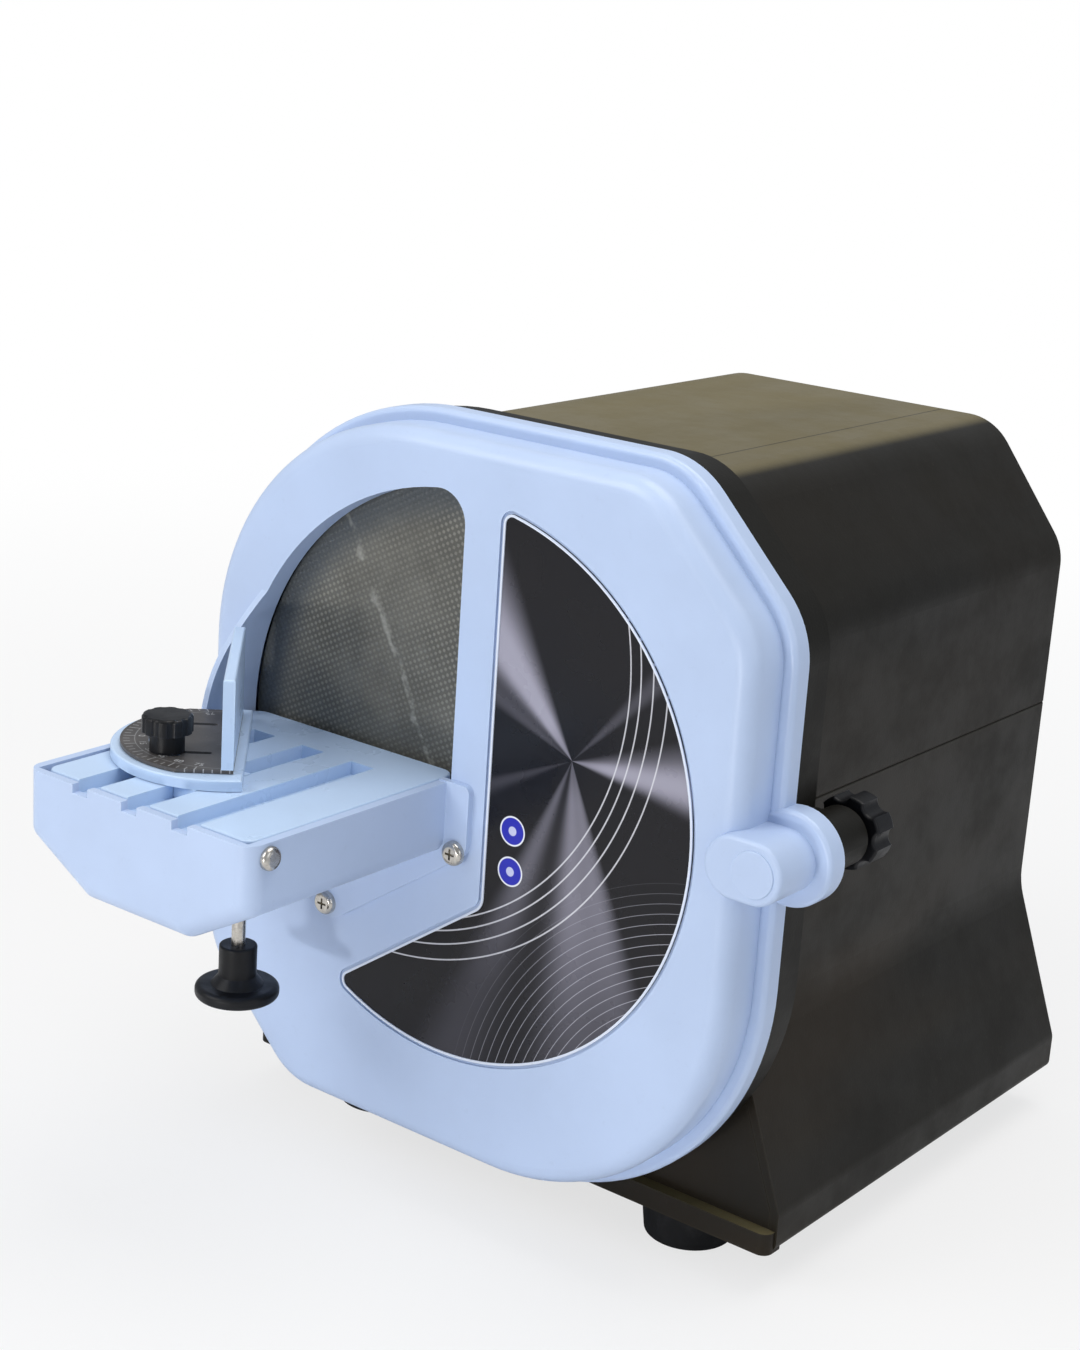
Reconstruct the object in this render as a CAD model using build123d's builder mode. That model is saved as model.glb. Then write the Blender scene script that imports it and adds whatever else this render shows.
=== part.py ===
from build123d import *
import math
import os

os.makedirs("parts", exist_ok=True)

# Every length is in millimetres. The pieces are drawn round the disc axis:
# x to the right, y from the front face of the cover backwards, z up from the axis.
# save() moves them onto the floor frame.

# Overall levels and reach
BASE_Z = -183.0
FOOT_HEIGHT = 20.0
FRONT_Y = -120.0
HOUSING_REAR = 305.0
REAR_Y = HOUSING_REAR + 22
AXIS_Z = FOOT_HEIGHT - BASE_Z
FACE_Y = -(FRONT_Y + REAR_Y) / 2

# Clearances
SLIDE_GAP = 0.3
RUN_GAP = 0.05
JOIN_GAP = 0.15

# Front cover
COVER_HALF = 150.5
COVER_TOP = 153.0
COVER_BOTTOM = -176.0
CORNER_CUT = 57.5
CORNER_ARC = 120.0
CUT_FILLET = 40.0
COVER_DEPTH = 30.0
RIM_FRONT = 21.0
WALL_INSET = 6.0
CAVITY_INSET = WALL_INSET + 4.5
FACE_FILLET = 8.0
FACE_THICK = 4.0
LABEL_DEPTH = 1.2

# Disc and window
DISC_R = 127.0
DISC_FRONT = 13.5
DIAMOND_THICK = 3.0
BACKING_R = DISC_R - 9
BACKING_THICK = 8.0
WINDOW_R = DISC_R - 1
WINDOW_WALL = 3.0
WINDOW_BACK = 11.0
SILL_Z = -8.2
LABEL_R = DISC_R - 2
LABEL_LEFT = 18.5
LABEL_KNEE = -49.0
LABEL_LOW_ANGLE = 239.5

# Splash pan behind the cover
PAN_FRONT = 31.5
PAN_BACK = 50.0
PAN_FLOOR = PAN_BACK - 4
PAN_INSET = 3.0
PAN_CAVITY_INSET = PAN_INSET + 6.5
GASKET_OUT = 4.6
GASKET_IN = GASKET_OUT + 3
GASKET_FRONT = COVER_DEPTH + SLIDE_GAP
GASKET_BACK = 34.0

# Housing shells
HOUSING_TOP = 137.0
HOUSING_HALF = 122.0
SHOULDER_X = 78.3
SHOULDER_Z = 81.2
WAIST_Z = -90.0
FLARE_HALF = 150.0
FLARE_Z = -165.0
SHELL_THICK = 4.0
SEAM_Z = 3.7
SEAM_CHAMFER = 0.6
TOE_FRONT = 44.0
PANEL_FRONT = HOUSING_REAR - 7
PANEL_BACK = PANEL_FRONT + 3
BULKHEAD_BACK = PAN_BACK + 5

# Hinge on the left, latch on the right
HINGE_X = -(COVER_HALF + 6.5)
HINGE_Y = 44.0
HINGE_R = 5.0
HINGE_PIN_R = 2.0
HINGE_CENTRES = (5.0, -75.0)
HINGE_ARM = 6.0
KNUCKLE_HALF = 12.0
KNUCKLE_LENGTH = 12.0
LATCH_X = COVER_HALF + 4.5
LATCH_Z = 5.0
LATCH_BOSS_R = 13.0
LATCH_FLANGE_R = 20.0
LATCH_FRONT = -5.0
LATCH_PAD = 10.0
LATCH_CAP_R = 9.7
LATCH_BORE_R = 6.0
LATCH_STUD_R = 4.0
LATCH_STUD_TIP = 10.0
LUG_R = 12.6
LUG_BACK = 60.0
LATCH_KNOB_R = 15.6
LATCH_KNOB_BACK = 76.0

# The floor frame is centred between hinge barrel and latch ring
FACE_X = -(LATCH_X + LATCH_FLANGE_R + HINGE_X - HINGE_R) / 2

# Table tray
TRAY_LEFT = -130.0
TRAY_RIGHT = 0.0
TRAY_WALL = 4.2
TRAY_FRONT_WALL = 3.6
TRAY_RIM = 1.3
TRAY_FLOOR = -48.0
TRAY_KNEE = -28.0
TRAY_FLAT = 36.0
FLANGE_THICK = 3.0
FLANGE_HALF = 77.4
FLANGE_TOP = 2.0
FLANGE_TIP = -82.0
TRAY_MID = (TRAY_LEFT + TRAY_RIGHT) / 2
SCREW_HEAD_R = 5.4
SCREW_HEAD = 3.4
SCREW_R = 2.5
PANEL_HEAD_R = 3.3
FLANGE_SCREWS = ((6.4, -28.5), (TRAY_MID, -72.0), (2 * TRAY_MID - 6.4, -28.5))

# Tilting table plate
PLATE_LEFT = TRAY_LEFT + TRAY_WALL + 2.6
PLATE_RIGHT = TRAY_RIGHT - TRAY_WALL - 0.8
PLATE_FRONT = FRONT_Y + TRAY_FRONT_WALL + 1.6
PLATE_REAR = 10.0
PLATE_TOP = 1.5
PLATE_BOTTOM = -7.0
GROOVE_WIDTH = 13.0
GROOVE_DEPTH = 6.0
GROOVES = (-96.5, -67.5, -38.5)
PIVOT_Y = -109.0
PIVOT_Z = -5.0
PIVOT_R = 2.0
PIVOT_BAR = 4.0

# Tilt screw
TILT_X = TRAY_MID
TILT_Y = -58.0
TILT_R = 3.0
TILT_PAD_R = 6.0
TILT_PAD_GAP = 0.4
TILT_KNOB_TOP = -76.0
TILT_HUB_R = 8.2
TILT_KNOB_R = 18.2

# Angle guide
GUIDE_X = -86.6
GUIDE_Y = -46.6
GUIDE_ANGLE = 132.0
BASE_R = 49.0
BASE_TOP = 6.5
PROTRACTOR_R = 45.0
PROTRACTOR_HALF = 41.0
PROTRACTOR_THICK = 1.5
FENCE_THICK = 5.0
FENCE_TOP = 47.0
CLAMP_X = -92.2
CLAMP_Y = -76.0
CLAMP_R = 3.0
CLAMP_HUB_R = 7.4
CLAMP_CAP_R = 10.8

# Drive
SHAFT_R = 8.0
SEAL_R = 20.0
MOTOR_FRONT = 75.0
MOTOR_BACK = 215.0
MOTOR_R = 66.0
STATOR_R = 62.0
ROTOR_R = 38.0
BEARING_R = 17.5
BEARING_WIDTH = 12.0
BELL_BACK = 232.0
FAN_R = 50.0
MOTOR_BOLT_R = 70.0

# Water and power
DRAIN_X = -60.0
DRAIN_Z = -150.0
DRAIN_R = 14.0
DRAIN_BORE = 11.5
SPRAY_X = 72.0
SPRAY_Z = 114.0
SPRAY_R = 3.0
POWER_X = -70.0
POWER_Z = -70.0
SWITCH_Z = -10.0
SWITCH_TILT = 8.0

PAN_SCREWS = ((95, 60), (-95, 60), (95, -60), (-95, -60), (30, -150), (-20, -150))
PANEL_SCREWS = ((40, 128.5), (-40, 128.5), (114.5, 50), (-114.5, 50),
                (114.5, -60), (-114.5, -60), (100, -174.5), (-100, -174.5))
FEET = ((92, 72), (-92, 72), (92, 272), (-92, 272))


def layer(y):
    """Plane across the machine at depth y, seen from the front."""
    return Plane(origin=(0, y, 0), x_dir=(1, 0, 0), z_dir=(0, -1, 0))


def slab(outline, y0, y1, mode=Mode.ADD):
    """Extrudes an outline backwards from depth y0 to depth y1."""
    with BuildSketch(layer(y0)) as face:
        add(outline)
    extrude(face.sketch, amount=y1 - y0, dir=(0, 1, 0), mode=mode)


def rod(radius, x, z, y0, y1, mode=Mode.ADD):
    """Round bar along Y."""
    with Locations((x, (y0 + y1) / 2, z)):
        Cylinder(radius, y1 - y0, rotation=(90, 0, 0), mode=mode)


def pin(radius, y, z, x0, x1, mode=Mode.ADD):
    """Round bar along X."""
    with Locations(((x0 + x1) / 2, y, z)):
        Cylinder(radius, x1 - x0, rotation=(0, 90, 0), mode=mode)


def post(radius, x, y, z0, z1, mode=Mode.ADD):
    """Round bar along Z."""
    with Locations((x, y, (z0 + z1) / 2)):
        Cylinder(radius, z1 - z0, mode=mode)


def block(x0, x1, y0, y1, z0, z1, mode=Mode.ADD):
    """Box between two corners."""
    with Locations(((x0 + x1) / 2, (y0 + y1) / 2, (z0 + z1) / 2)):
        Box(x1 - x0, y1 - y0, z1 - z0, mode=mode)


def save(part, label):
    """Moves a finished piece onto the floor frame and writes it."""
    placed = part.moved(Location((FACE_X, FACE_Y, AXIS_Z)))
    placed.label = label
    export_step(placed, f"parts/{label}.step")


# Outlines

def cover_outline(inset=0.0):
    """Outline of the front cover: two large arcs, two cut corners."""
    with BuildSketch() as outline:
        with BuildLine():
            Polyline(
                (-COVER_HALF, COVER_TOP),
                (COVER_HALF - CORNER_CUT, COVER_TOP),
                (COVER_HALF, COVER_TOP - CORNER_CUT),
                (COVER_HALF, COVER_BOTTOM),
                (CORNER_CUT - COVER_HALF, COVER_BOTTOM),
                (-COVER_HALF, COVER_BOTTOM + CORNER_CUT),
                close=True,
            )
        make_face()
        corners = outline.vertices().sort_by(lambda v: abs(v.X * v.Y))
        fillet(corners[:4], radius=CUT_FILLET)
        corners = outline.vertices().sort_by(lambda v: abs(v.X * v.Y))
        fillet(corners[-2:], radius=CORNER_ARC)
        if inset:
            offset(amount=-inset)
    return outline.sketch


def housing_outline(inset=0.0):
    """Cross-section of the housing, the same over its whole depth."""
    right = (
        (SHOULDER_X, HOUSING_TOP),
        (HOUSING_HALF, SHOULDER_Z),
        (HOUSING_HALF, WAIST_Z),
        (FLARE_HALF, FLARE_Z),
        (FLARE_HALF, BASE_Z),
    )
    left = tuple((-x, z) for x, z in reversed(right))
    rounds = (28.0, 25.0, 40.0, 8.0, 4.5)
    with BuildSketch() as outline:
        with BuildLine():
            Polyline(*right, *left, close=True)
        make_face()
        for (x, z), radius in zip(right, rounds):
            pair = outline.vertices().filter_by(
                lambda v: math.hypot(abs(v.X) - x, v.Y - z) < JOIN_GAP
            )
            fillet(pair, radius=radius)
        if inset:
            offset(amount=-inset)
    return outline.sketch


def window_outline(grow=0.0):
    """Quarter of the disc that the cover leaves open."""
    with BuildSketch() as outline:
        Circle(WINDOW_R)
        with Locations((-WINDOW_R / 2, (WINDOW_R + SILL_Z) / 2)):
            Rectangle(WINDOW_R, WINDOW_R - SILL_Z, mode=Mode.INTERSECT)
        top_right = outline.vertices().sort_by(lambda v: v.X + v.Y)[-1:]
        fillet(top_right, radius=14)
        if grow:
            offset(amount=grow)
    return outline.sketch


def label_outline(inset=0.0):
    """Part circle with a straight left edge and a sloping lower left edge."""
    top = math.sqrt(LABEL_R**2 - LABEL_LEFT**2)
    low = math.radians(LABEL_LOW_ANGLE)
    low_point = (LABEL_R * math.cos(low), LABEL_R * math.sin(low))
    with BuildSketch() as outline:
        with BuildLine():
            Line((LABEL_LEFT, top), (LABEL_LEFT, LABEL_KNEE))
            Line((LABEL_LEFT, LABEL_KNEE), low_point)
            ThreePointArc(low_point, (LABEL_R * math.cos(-0.4), LABEL_R * math.sin(-0.4)),
                          (LABEL_LEFT, top))
        make_face()
        fillet(outline.vertices(), radius=6)
        if inset:
            offset(amount=-inset)
    return outline.sketch


def tray_outline(inset=0.0):
    """Front view of the table tray."""
    with BuildSketch() as outline:
        with BuildLine():
            Polyline(
                (TRAY_RIGHT, TRAY_RIM),
                (TRAY_RIGHT, TRAY_KNEE),
                (TRAY_RIGHT - TRAY_FLAT, TRAY_FLOOR),
                (TRAY_LEFT + TRAY_FLAT, TRAY_FLOOR),
                (TRAY_LEFT, TRAY_KNEE),
                (TRAY_LEFT, TRAY_RIM),
                close=True,
            )
        make_face()
        fillet(outline.vertices().sort_by(Axis.Y)[:4], radius=7)
        if inset:
            offset(amount=-inset)
    return outline.sketch


def flange_outline():
    """Mounting flange of the tray against the cover."""
    with BuildSketch() as outline:
        with BuildLine():
            Polyline(
                (TRAY_MID + FLANGE_HALF, FLANGE_TOP),
                (TRAY_MID + FLANGE_HALF, TRAY_KNEE),
                (TRAY_MID, FLANGE_TIP),
                (TRAY_MID - FLANGE_HALF, TRAY_KNEE),
                (TRAY_MID - FLANGE_HALF, FLANGE_TOP),
                close=True,
            )
        make_face()
        fillet(outline.vertices().sort_by(Axis.Y)[:1], radius=14)
        fillet(outline.vertices().group_by(Axis.Y)[-1], radius=3)
        knees = outline.vertices().filter_by(lambda v: abs(v.Y - TRAY_KNEE) < JOIN_GAP)
        fillet(knees, radius=8)
    return outline.sketch


# Housing

def housing_shell(keep):
    """One half of the housing tube, split along the seam."""
    with BuildPart() as shell:
        slab(housing_outline(), PAN_BACK, HOUSING_REAR)
        chamfer(shell.edges().group_by(Axis.Y)[-1], length=1.5)
        slab(housing_outline(SHELL_THICK), PAN_BACK, HOUSING_REAR, Mode.SUBTRACT)
        split(bisect_by=Plane.XY.offset(SEAM_Z), keep=keep)
        seam = shell.edges().filter_by(Axis.Y).filter_by(
            lambda e: abs(e.center().Z - SEAM_Z) < JOIN_GAP
            and abs(e.center().X) > HOUSING_HALF - 1
        )
        chamfer(seam, length=SEAM_CHAMFER)
        for x, z in PANEL_SCREWS:
            if (z > SEAM_Z) == (keep == Keep.TOP):
                rod(5, x, z, PANEL_FRONT - 20, PANEL_FRONT)
                rod(2, x, z, PANEL_FRONT - 10, PANEL_FRONT, Mode.SUBTRACT)
    return shell


def housing_hood():
    shell = housing_shell(Keep.TOP)
    save(shell.part, "housing_hood")


def housing_tub():
    toe_half = FLARE_HALF - 1
    with BuildPart() as tub:
        add(housing_shell(Keep.BOTTOM).part)
        with BuildPart(mode=Mode.PRIVATE) as toe:
            block(-toe_half, toe_half, TOE_FRONT, BULKHEAD_BACK, BASE_Z, COVER_BOTTOM + PAN_INSET)
            upright = toe.edges().filter_by(Axis.Z).group_by(Axis.Y)[0]
            fillet(upright, radius=5)
        add(toe.part)
        for x, y in FEET:
            post(SCREW_R, x, y, BASE_Z - 1, BASE_Z + 6, Mode.SUBTRACT)
        with Locations((0, 185, BASE_Z + SHELL_THICK / 2)):
            with GridLocations(1, 16, 1, 6):
                Box(90, 5, 2 * SHELL_THICK, mode=Mode.SUBTRACT)
    save(tub.part, "housing_tub")


def bulkhead():
    with BuildPart() as plate:
        slab(housing_outline(SHELL_THICK + JOIN_GAP), PAN_BACK, BULKHEAD_BACK)
        block(-FLARE_HALF, FLARE_HALF, PAN_BACK, BULKHEAD_BACK,
              BASE_Z, COVER_BOTTOM + PAN_INSET + JOIN_GAP, Mode.SUBTRACT)
        rod(SHAFT_R + 4, 0, 0, PAN_BACK, BULKHEAD_BACK, Mode.SUBTRACT)
        rod(DRAIN_R, DRAIN_X, DRAIN_Z, PAN_BACK, BULKHEAD_BACK, Mode.SUBTRACT)
        rod(SPRAY_R, SPRAY_X, SPRAY_Z, PAN_BACK, BULKHEAD_BACK, Mode.SUBTRACT)
        for x, z in PAN_SCREWS:
            rod(SCREW_R, x, z, PAN_BACK, BULKHEAD_BACK, Mode.SUBTRACT)
        with Locations(layer(PAN_BACK)):
            with PolarLocations(MOTOR_BOLT_R, 4, start_angle=45):
                Cylinder(SHAFT_R / 2, 20, mode=Mode.SUBTRACT)
    save(plate.part, "bulkhead")


def rear_panel():
    with BuildPart() as panel:
        slab(housing_outline(SHELL_THICK + JOIN_GAP), PANEL_FRONT, PANEL_BACK)
        rod(DRAIN_R, DRAIN_X, DRAIN_Z, PANEL_FRONT, PANEL_BACK, Mode.SUBTRACT)
        rod(5, SPRAY_X, SPRAY_Z, PANEL_FRONT, PANEL_BACK, Mode.SUBTRACT)
        for x, z in PANEL_SCREWS:
            rod(2, x, z, PANEL_FRONT, PANEL_BACK, Mode.SUBTRACT)
        block(POWER_X - 14, POWER_X + 14, PANEL_FRONT, PANEL_BACK,
              POWER_Z - 10, POWER_Z + 10, Mode.SUBTRACT)
        block(POWER_X - 11, POWER_X + 11, PANEL_FRONT, PANEL_BACK,
              SWITCH_Z - 14, SWITCH_Z + 14, Mode.SUBTRACT)
        for row in range(7):
            z = -50 + 14 * row
            block(0, 70, PANEL_FRONT, PANEL_BACK, z, z + 5, Mode.SUBTRACT)
    save(panel.part, "rear_panel")


def panel_screws():
    with BuildPart() as screws:
        for x, z in PANEL_SCREWS:
            rod(PANEL_HEAD_R, x, z, PANEL_BACK, PANEL_BACK + 2.5)
            rod(2, x, z, PANEL_FRONT - 9, PANEL_BACK)
    save(screws.part, "panel_screws")


def rubber_feet():
    with BuildPart() as feet:
        for x, y in FEET:
            with Locations((x, y, BASE_Z - FOOT_HEIGHT / 2)):
                Cone(20, 22.5, FOOT_HEIGHT)
            post(6.5, x, y, BASE_Z - FOOT_HEIGHT, BASE_Z - 12, Mode.SUBTRACT)
            post(SCREW_R, x, y, BASE_Z - 12, BASE_Z, Mode.SUBTRACT)
        fillet(feet.edges().group_by(Axis.Z)[0].sort_by(SortBy.RADIUS)[-4:], radius=1.5)
    save(feet.part, "rubber_feet")


def foot_screws():
    with BuildPart() as screws:
        for x, y in FEET:
            post(5.5, x, y, BASE_Z - 15, BASE_Z - 12)
            post(SCREW_R, x, y, BASE_Z - 12, BASE_Z + 5)
    save(screws.part, "foot_screws")


# Splash pan, gasket and hinge

def chamber_pan():
    with BuildPart() as pan:
        slab(cover_outline(PAN_INSET), PAN_FRONT, PAN_BACK)
        rod(LUG_R, LATCH_X, LATCH_Z, PAN_FRONT, LUG_BACK)
        block(COVER_HALF - PAN_CAVITY_INSET, LATCH_X, PAN_FRONT, PAN_BACK,
              LATCH_Z - LUG_R, LATCH_Z + LUG_R)
        for centre in HINGE_CENTRES:
            for side in (-1, 1):
                near = centre + side * (KNUCKLE_HALF + SLIDE_GAP)
                far = near + side * KNUCKLE_LENGTH
                low, high = min(near, far), max(near, far)
                post(HINGE_R, HINGE_X, HINGE_Y, low, high)
                block(HINGE_X, -COVER_HALF + PAN_INSET + 2, HINGE_Y - HINGE_R + 1,
                      HINGE_Y + HINGE_R, low, high)
                post(HINGE_PIN_R, HINGE_X, HINGE_Y, low, high, Mode.SUBTRACT)
        slab(cover_outline(PAN_CAVITY_INSET), PAN_FRONT, PAN_FLOOR, Mode.SUBTRACT)
        slab(cover_outline(GASKET_OUT), PAN_FRONT, GASKET_BACK, Mode.SUBTRACT)
        with BuildPart(mode=Mode.PRIVATE) as inner:
            slab(cover_outline(GASKET_IN), PAN_FRONT, GASKET_BACK)
            slab(cover_outline(PAN_CAVITY_INSET), PAN_FRONT, GASKET_BACK, Mode.SUBTRACT)
        add(inner.part)
        rod(LATCH_STUD_R + RUN_GAP, LATCH_X, LATCH_Z, PAN_FRONT, LUG_BACK, Mode.SUBTRACT)
        rod(SEAL_R, 0, 0, PAN_FLOOR, PAN_BACK, Mode.SUBTRACT)
        rod(DRAIN_R, DRAIN_X, DRAIN_Z, PAN_FLOOR, PAN_BACK, Mode.SUBTRACT)
        rod(SPRAY_R, SPRAY_X, SPRAY_Z, PAN_FLOOR, PAN_BACK, Mode.SUBTRACT)
        for x, z in PAN_SCREWS:
            rod(SCREW_R, x, z, PAN_FLOOR, PAN_BACK, Mode.SUBTRACT)
    save(pan.part, "chamber_pan")


def pan_screws():
    with BuildPart() as screws:
        for x, z in PAN_SCREWS:
            rod(SCREW_HEAD_R, x, z, PAN_FLOOR - SCREW_HEAD, PAN_FLOOR)
            rod(SCREW_R, x, z, PAN_FLOOR, BULKHEAD_BACK + 6)
    save(screws.part, "pan_screws")


def door_gasket():
    with BuildPart() as gasket:
        slab(cover_outline(GASKET_OUT + RUN_GAP), GASKET_FRONT, GASKET_BACK)
        slab(cover_outline(GASKET_IN - RUN_GAP), GASKET_FRONT, GASKET_BACK, Mode.SUBTRACT)
    save(gasket.part, "door_gasket")


def hinge_pins():
    with BuildPart() as pins:
        for centre in HINGE_CENTRES:
            reach = KNUCKLE_HALF + SLIDE_GAP + KNUCKLE_LENGTH
            post(HINGE_PIN_R, HINGE_X, HINGE_Y, centre - reach - 2, centre + reach)
            post(HINGE_PIN_R + 2, HINGE_X, HINGE_Y, centre + reach, centre + reach + 2)
    save(pins.part, "hinge_pins")


# Front cover and what it carries

def splash_fin():
    """Wall of the window carried forward beside the table."""
    with BuildPart() as fin:
        with BuildSketch(layer(FRONT_Y)) as ring:
            Circle(WINDOW_R + WINDOW_WALL)
            Circle(WINDOW_R, mode=Mode.SUBTRACT)
            with Locations((-WINDOW_R, WINDOW_R / 2)):
                Rectangle(WINDOW_R, WINDOW_R, mode=Mode.INTERSECT)
        extrude(amount=-(WINDOW_BACK - FRONT_Y))
        with BuildSketch(Plane.YZ.offset(-2 * WINDOW_R)):
            with BuildLine():
                edge = Spline((0, 61), (-8, 44.5), (-15.5, 27.5), (-20, 9), (-21, FLANGE_TOP))
                Line(edge @ 1, (2, FLANGE_TOP))
                Line((2, FLANGE_TOP), (2, 61))
                Line((2, 61), edge @ 0)
            make_face()
        extrude(amount=4 * WINDOW_R, mode=Mode.INTERSECT)
    return fin.part


def front_door():
    with BuildPart() as door:
        slab(cover_outline(WALL_INSET), 0, COVER_DEPTH)
        fillet(door.edges().group_by(Axis.Y)[0], radius=FACE_FILLET)
        with BuildPart(mode=Mode.PRIVATE) as rim:
            slab(cover_outline(), RIM_FRONT, COVER_DEPTH)
            fillet(rim.edges().group_by(Axis.Y)[0], radius=2.5)
        add(rim.part)
        with BuildPart(mode=Mode.PRIVATE) as boss:
            with BuildSketch(layer(LATCH_FRONT)):
                with Locations((LATCH_X - LATCH_PAD / 2, LATCH_Z)):
                    SlotCenterToCenter(LATCH_PAD, 2 * LATCH_BOSS_R)
            extrude(amount=LATCH_FRONT - COVER_DEPTH)
            fillet(boss.edges().group_by(Axis.Y)[0], radius=1.8)
        add(boss.part)
        with BuildPart(mode=Mode.PRIVATE) as latch_ring:
            rod(LATCH_FLANGE_R, LATCH_X, LATCH_Z, RIM_FRONT - 1, COVER_DEPTH)
            fillet(latch_ring.edges().group_by(Axis.Y)[0], radius=2)
        add(latch_ring.part)
        with BuildPart(mode=Mode.PRIVATE) as cavity:
            slab(cover_outline(CAVITY_INSET), FACE_THICK, COVER_DEPTH)
            fillet(cavity.edges().group_by(Axis.Y)[0], radius=5)
        add(cavity.part, mode=Mode.SUBTRACT)
        slab(window_outline(WINDOW_WALL), 0, WINDOW_BACK)
        slab(window_outline(), -1, WINDOW_BACK, Mode.SUBTRACT)
        add(splash_fin())
        slab(label_outline(), 0, LABEL_DEPTH, Mode.SUBTRACT)
        for x, z in FLANGE_SCREWS:
            rod(6, x, z, FACE_THICK, WINDOW_BACK)
            rod(SCREW_R, x, z, 0, WINDOW_BACK - 1, Mode.SUBTRACT)
        for centre in HINGE_CENTRES:
            low, high = centre - KNUCKLE_HALF, centre + KNUCKLE_HALF
            post(HINGE_R, HINGE_X, HINGE_Y, low, high)
            arm = HINGE_X - HINGE_ARM / 2
            block(arm, arm + HINGE_ARM, RIM_FRONT + 3, HINGE_Y, low, high)
            block(arm, 2 - COVER_HALF, RIM_FRONT + 3, COVER_DEPTH - 1, low, high)
            post(HINGE_PIN_R + RUN_GAP, HINGE_X, HINGE_Y, low, high, Mode.SUBTRACT)
        rod(LATCH_BORE_R, LATCH_X, LATCH_Z, LATCH_STUD_TIP - 2, COVER_DEPTH, Mode.SUBTRACT)
        rod(LATCH_CAP_R, LATCH_X, LATCH_Z, LATCH_FRONT, LATCH_FRONT + 2, Mode.SUBTRACT)
    save(door.part, "front_door")


def label_panel():
    with BuildPart() as label:
        slab(label_outline(1.5), 0.4, LABEL_DEPTH)
    save(label.part, "label_panel")


def latch_cap():
    with BuildPart() as cap:
        rod(LATCH_CAP_R - RUN_GAP, LATCH_X, LATCH_Z, LATCH_FRONT - 0.6, LATCH_FRONT + 2)
        fillet(cap.edges().group_by(Axis.Y)[0], radius=0.5)
    save(cap.part, "latch_cap")


def table_tray():
    with BuildPart() as tray:
        slab(tray_outline(), FRONT_Y, 0)
        upright = tray.edges().filter_by(Axis.Z).group_by(Axis.Y)[0]
        fillet(upright, radius=8)
        slab(flange_outline(), -FLANGE_THICK, 0)
        slab(tray_outline(TRAY_WALL), FRONT_Y + TRAY_FRONT_WALL, -FLANGE_THICK, Mode.SUBTRACT)
        block(TRAY_LEFT + TRAY_WALL, TRAY_RIGHT - TRAY_WALL, FRONT_Y + TRAY_FRONT_WALL,
              -FLANGE_THICK, TRAY_KNEE + TRAY_WALL, FLANGE_TOP, Mode.SUBTRACT)
        block(TRAY_LEFT + TRAY_WALL, TRAY_RIGHT - TRAY_WALL, -FLANGE_THICK, 0,
              SILL_Z, FLANGE_TOP, Mode.SUBTRACT)
        for x in GROOVES:
            block(x - 4.5, x + 4.5, FRONT_Y, FRONT_Y + TRAY_FRONT_WALL,
                  -2.5, TRAY_RIM, Mode.SUBTRACT)
        post(6.5, TILT_X, TILT_Y, TRAY_FLOOR, TRAY_FLOOR + TRAY_WALL, Mode.SUBTRACT)
        pin(PIVOT_R, PIVOT_Y, PIVOT_Z, TRAY_LEFT, TRAY_RIGHT, Mode.SUBTRACT)
        for x, z in FLANGE_SCREWS:
            rod(SCREW_R, x, z, -FLANGE_THICK, 0, Mode.SUBTRACT)
    save(tray.part, "table_tray")


def flange_screws():
    with BuildPart() as screws:
        for x, z in FLANGE_SCREWS:
            rod(SCREW_HEAD_R, x, z, -FLANGE_THICK - SCREW_HEAD, -FLANGE_THICK)
            rod(SCREW_R, x, z, -FLANGE_THICK, WINDOW_BACK - 2)
        fillet(screws.edges().group_by(Axis.Y)[0], radius=2.2)
        with Locations(layer(-FLANGE_THICK - SCREW_HEAD)):
            with Locations(*FLANGE_SCREWS):
                Box(5, 1, 4, mode=Mode.SUBTRACT)
                Box(1, 5, 4, mode=Mode.SUBTRACT)
    save(screws.part, "flange_screws")


def pivot_screws():
    head = 3.0
    with BuildPart() as screws:
        for wall, side in ((TRAY_RIGHT, 1), (TRAY_LEFT, -1)):
            outer = sorted((wall, wall + side * head))
            inner = sorted((wall, wall - side * (TRAY_WALL + 10)))
            pin(5, PIVOT_Y, PIVOT_Z, *outer)
            pin(PIVOT_R, PIVOT_Y, PIVOT_Z, *inner)
        fillet(screws.edges().group_by(Axis.X)[0], radius=2)
        fillet(screws.edges().group_by(Axis.X)[-1], radius=2)
    save(screws.part, "pivot_screws")


def tilt_bush():
    top = TRAY_FLOOR + TRAY_WALL
    with BuildPart() as bush:
        post(6.5, TILT_X, TILT_Y, TRAY_FLOOR, top)
        post(9, TILT_X, TILT_Y, top, top + 2)
        post(TILT_R + RUN_GAP, TILT_X, TILT_Y, TRAY_FLOOR, top + 2, Mode.SUBTRACT)
    save(bush.part, "tilt_bush")


# Table plate and tilt screw

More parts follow.
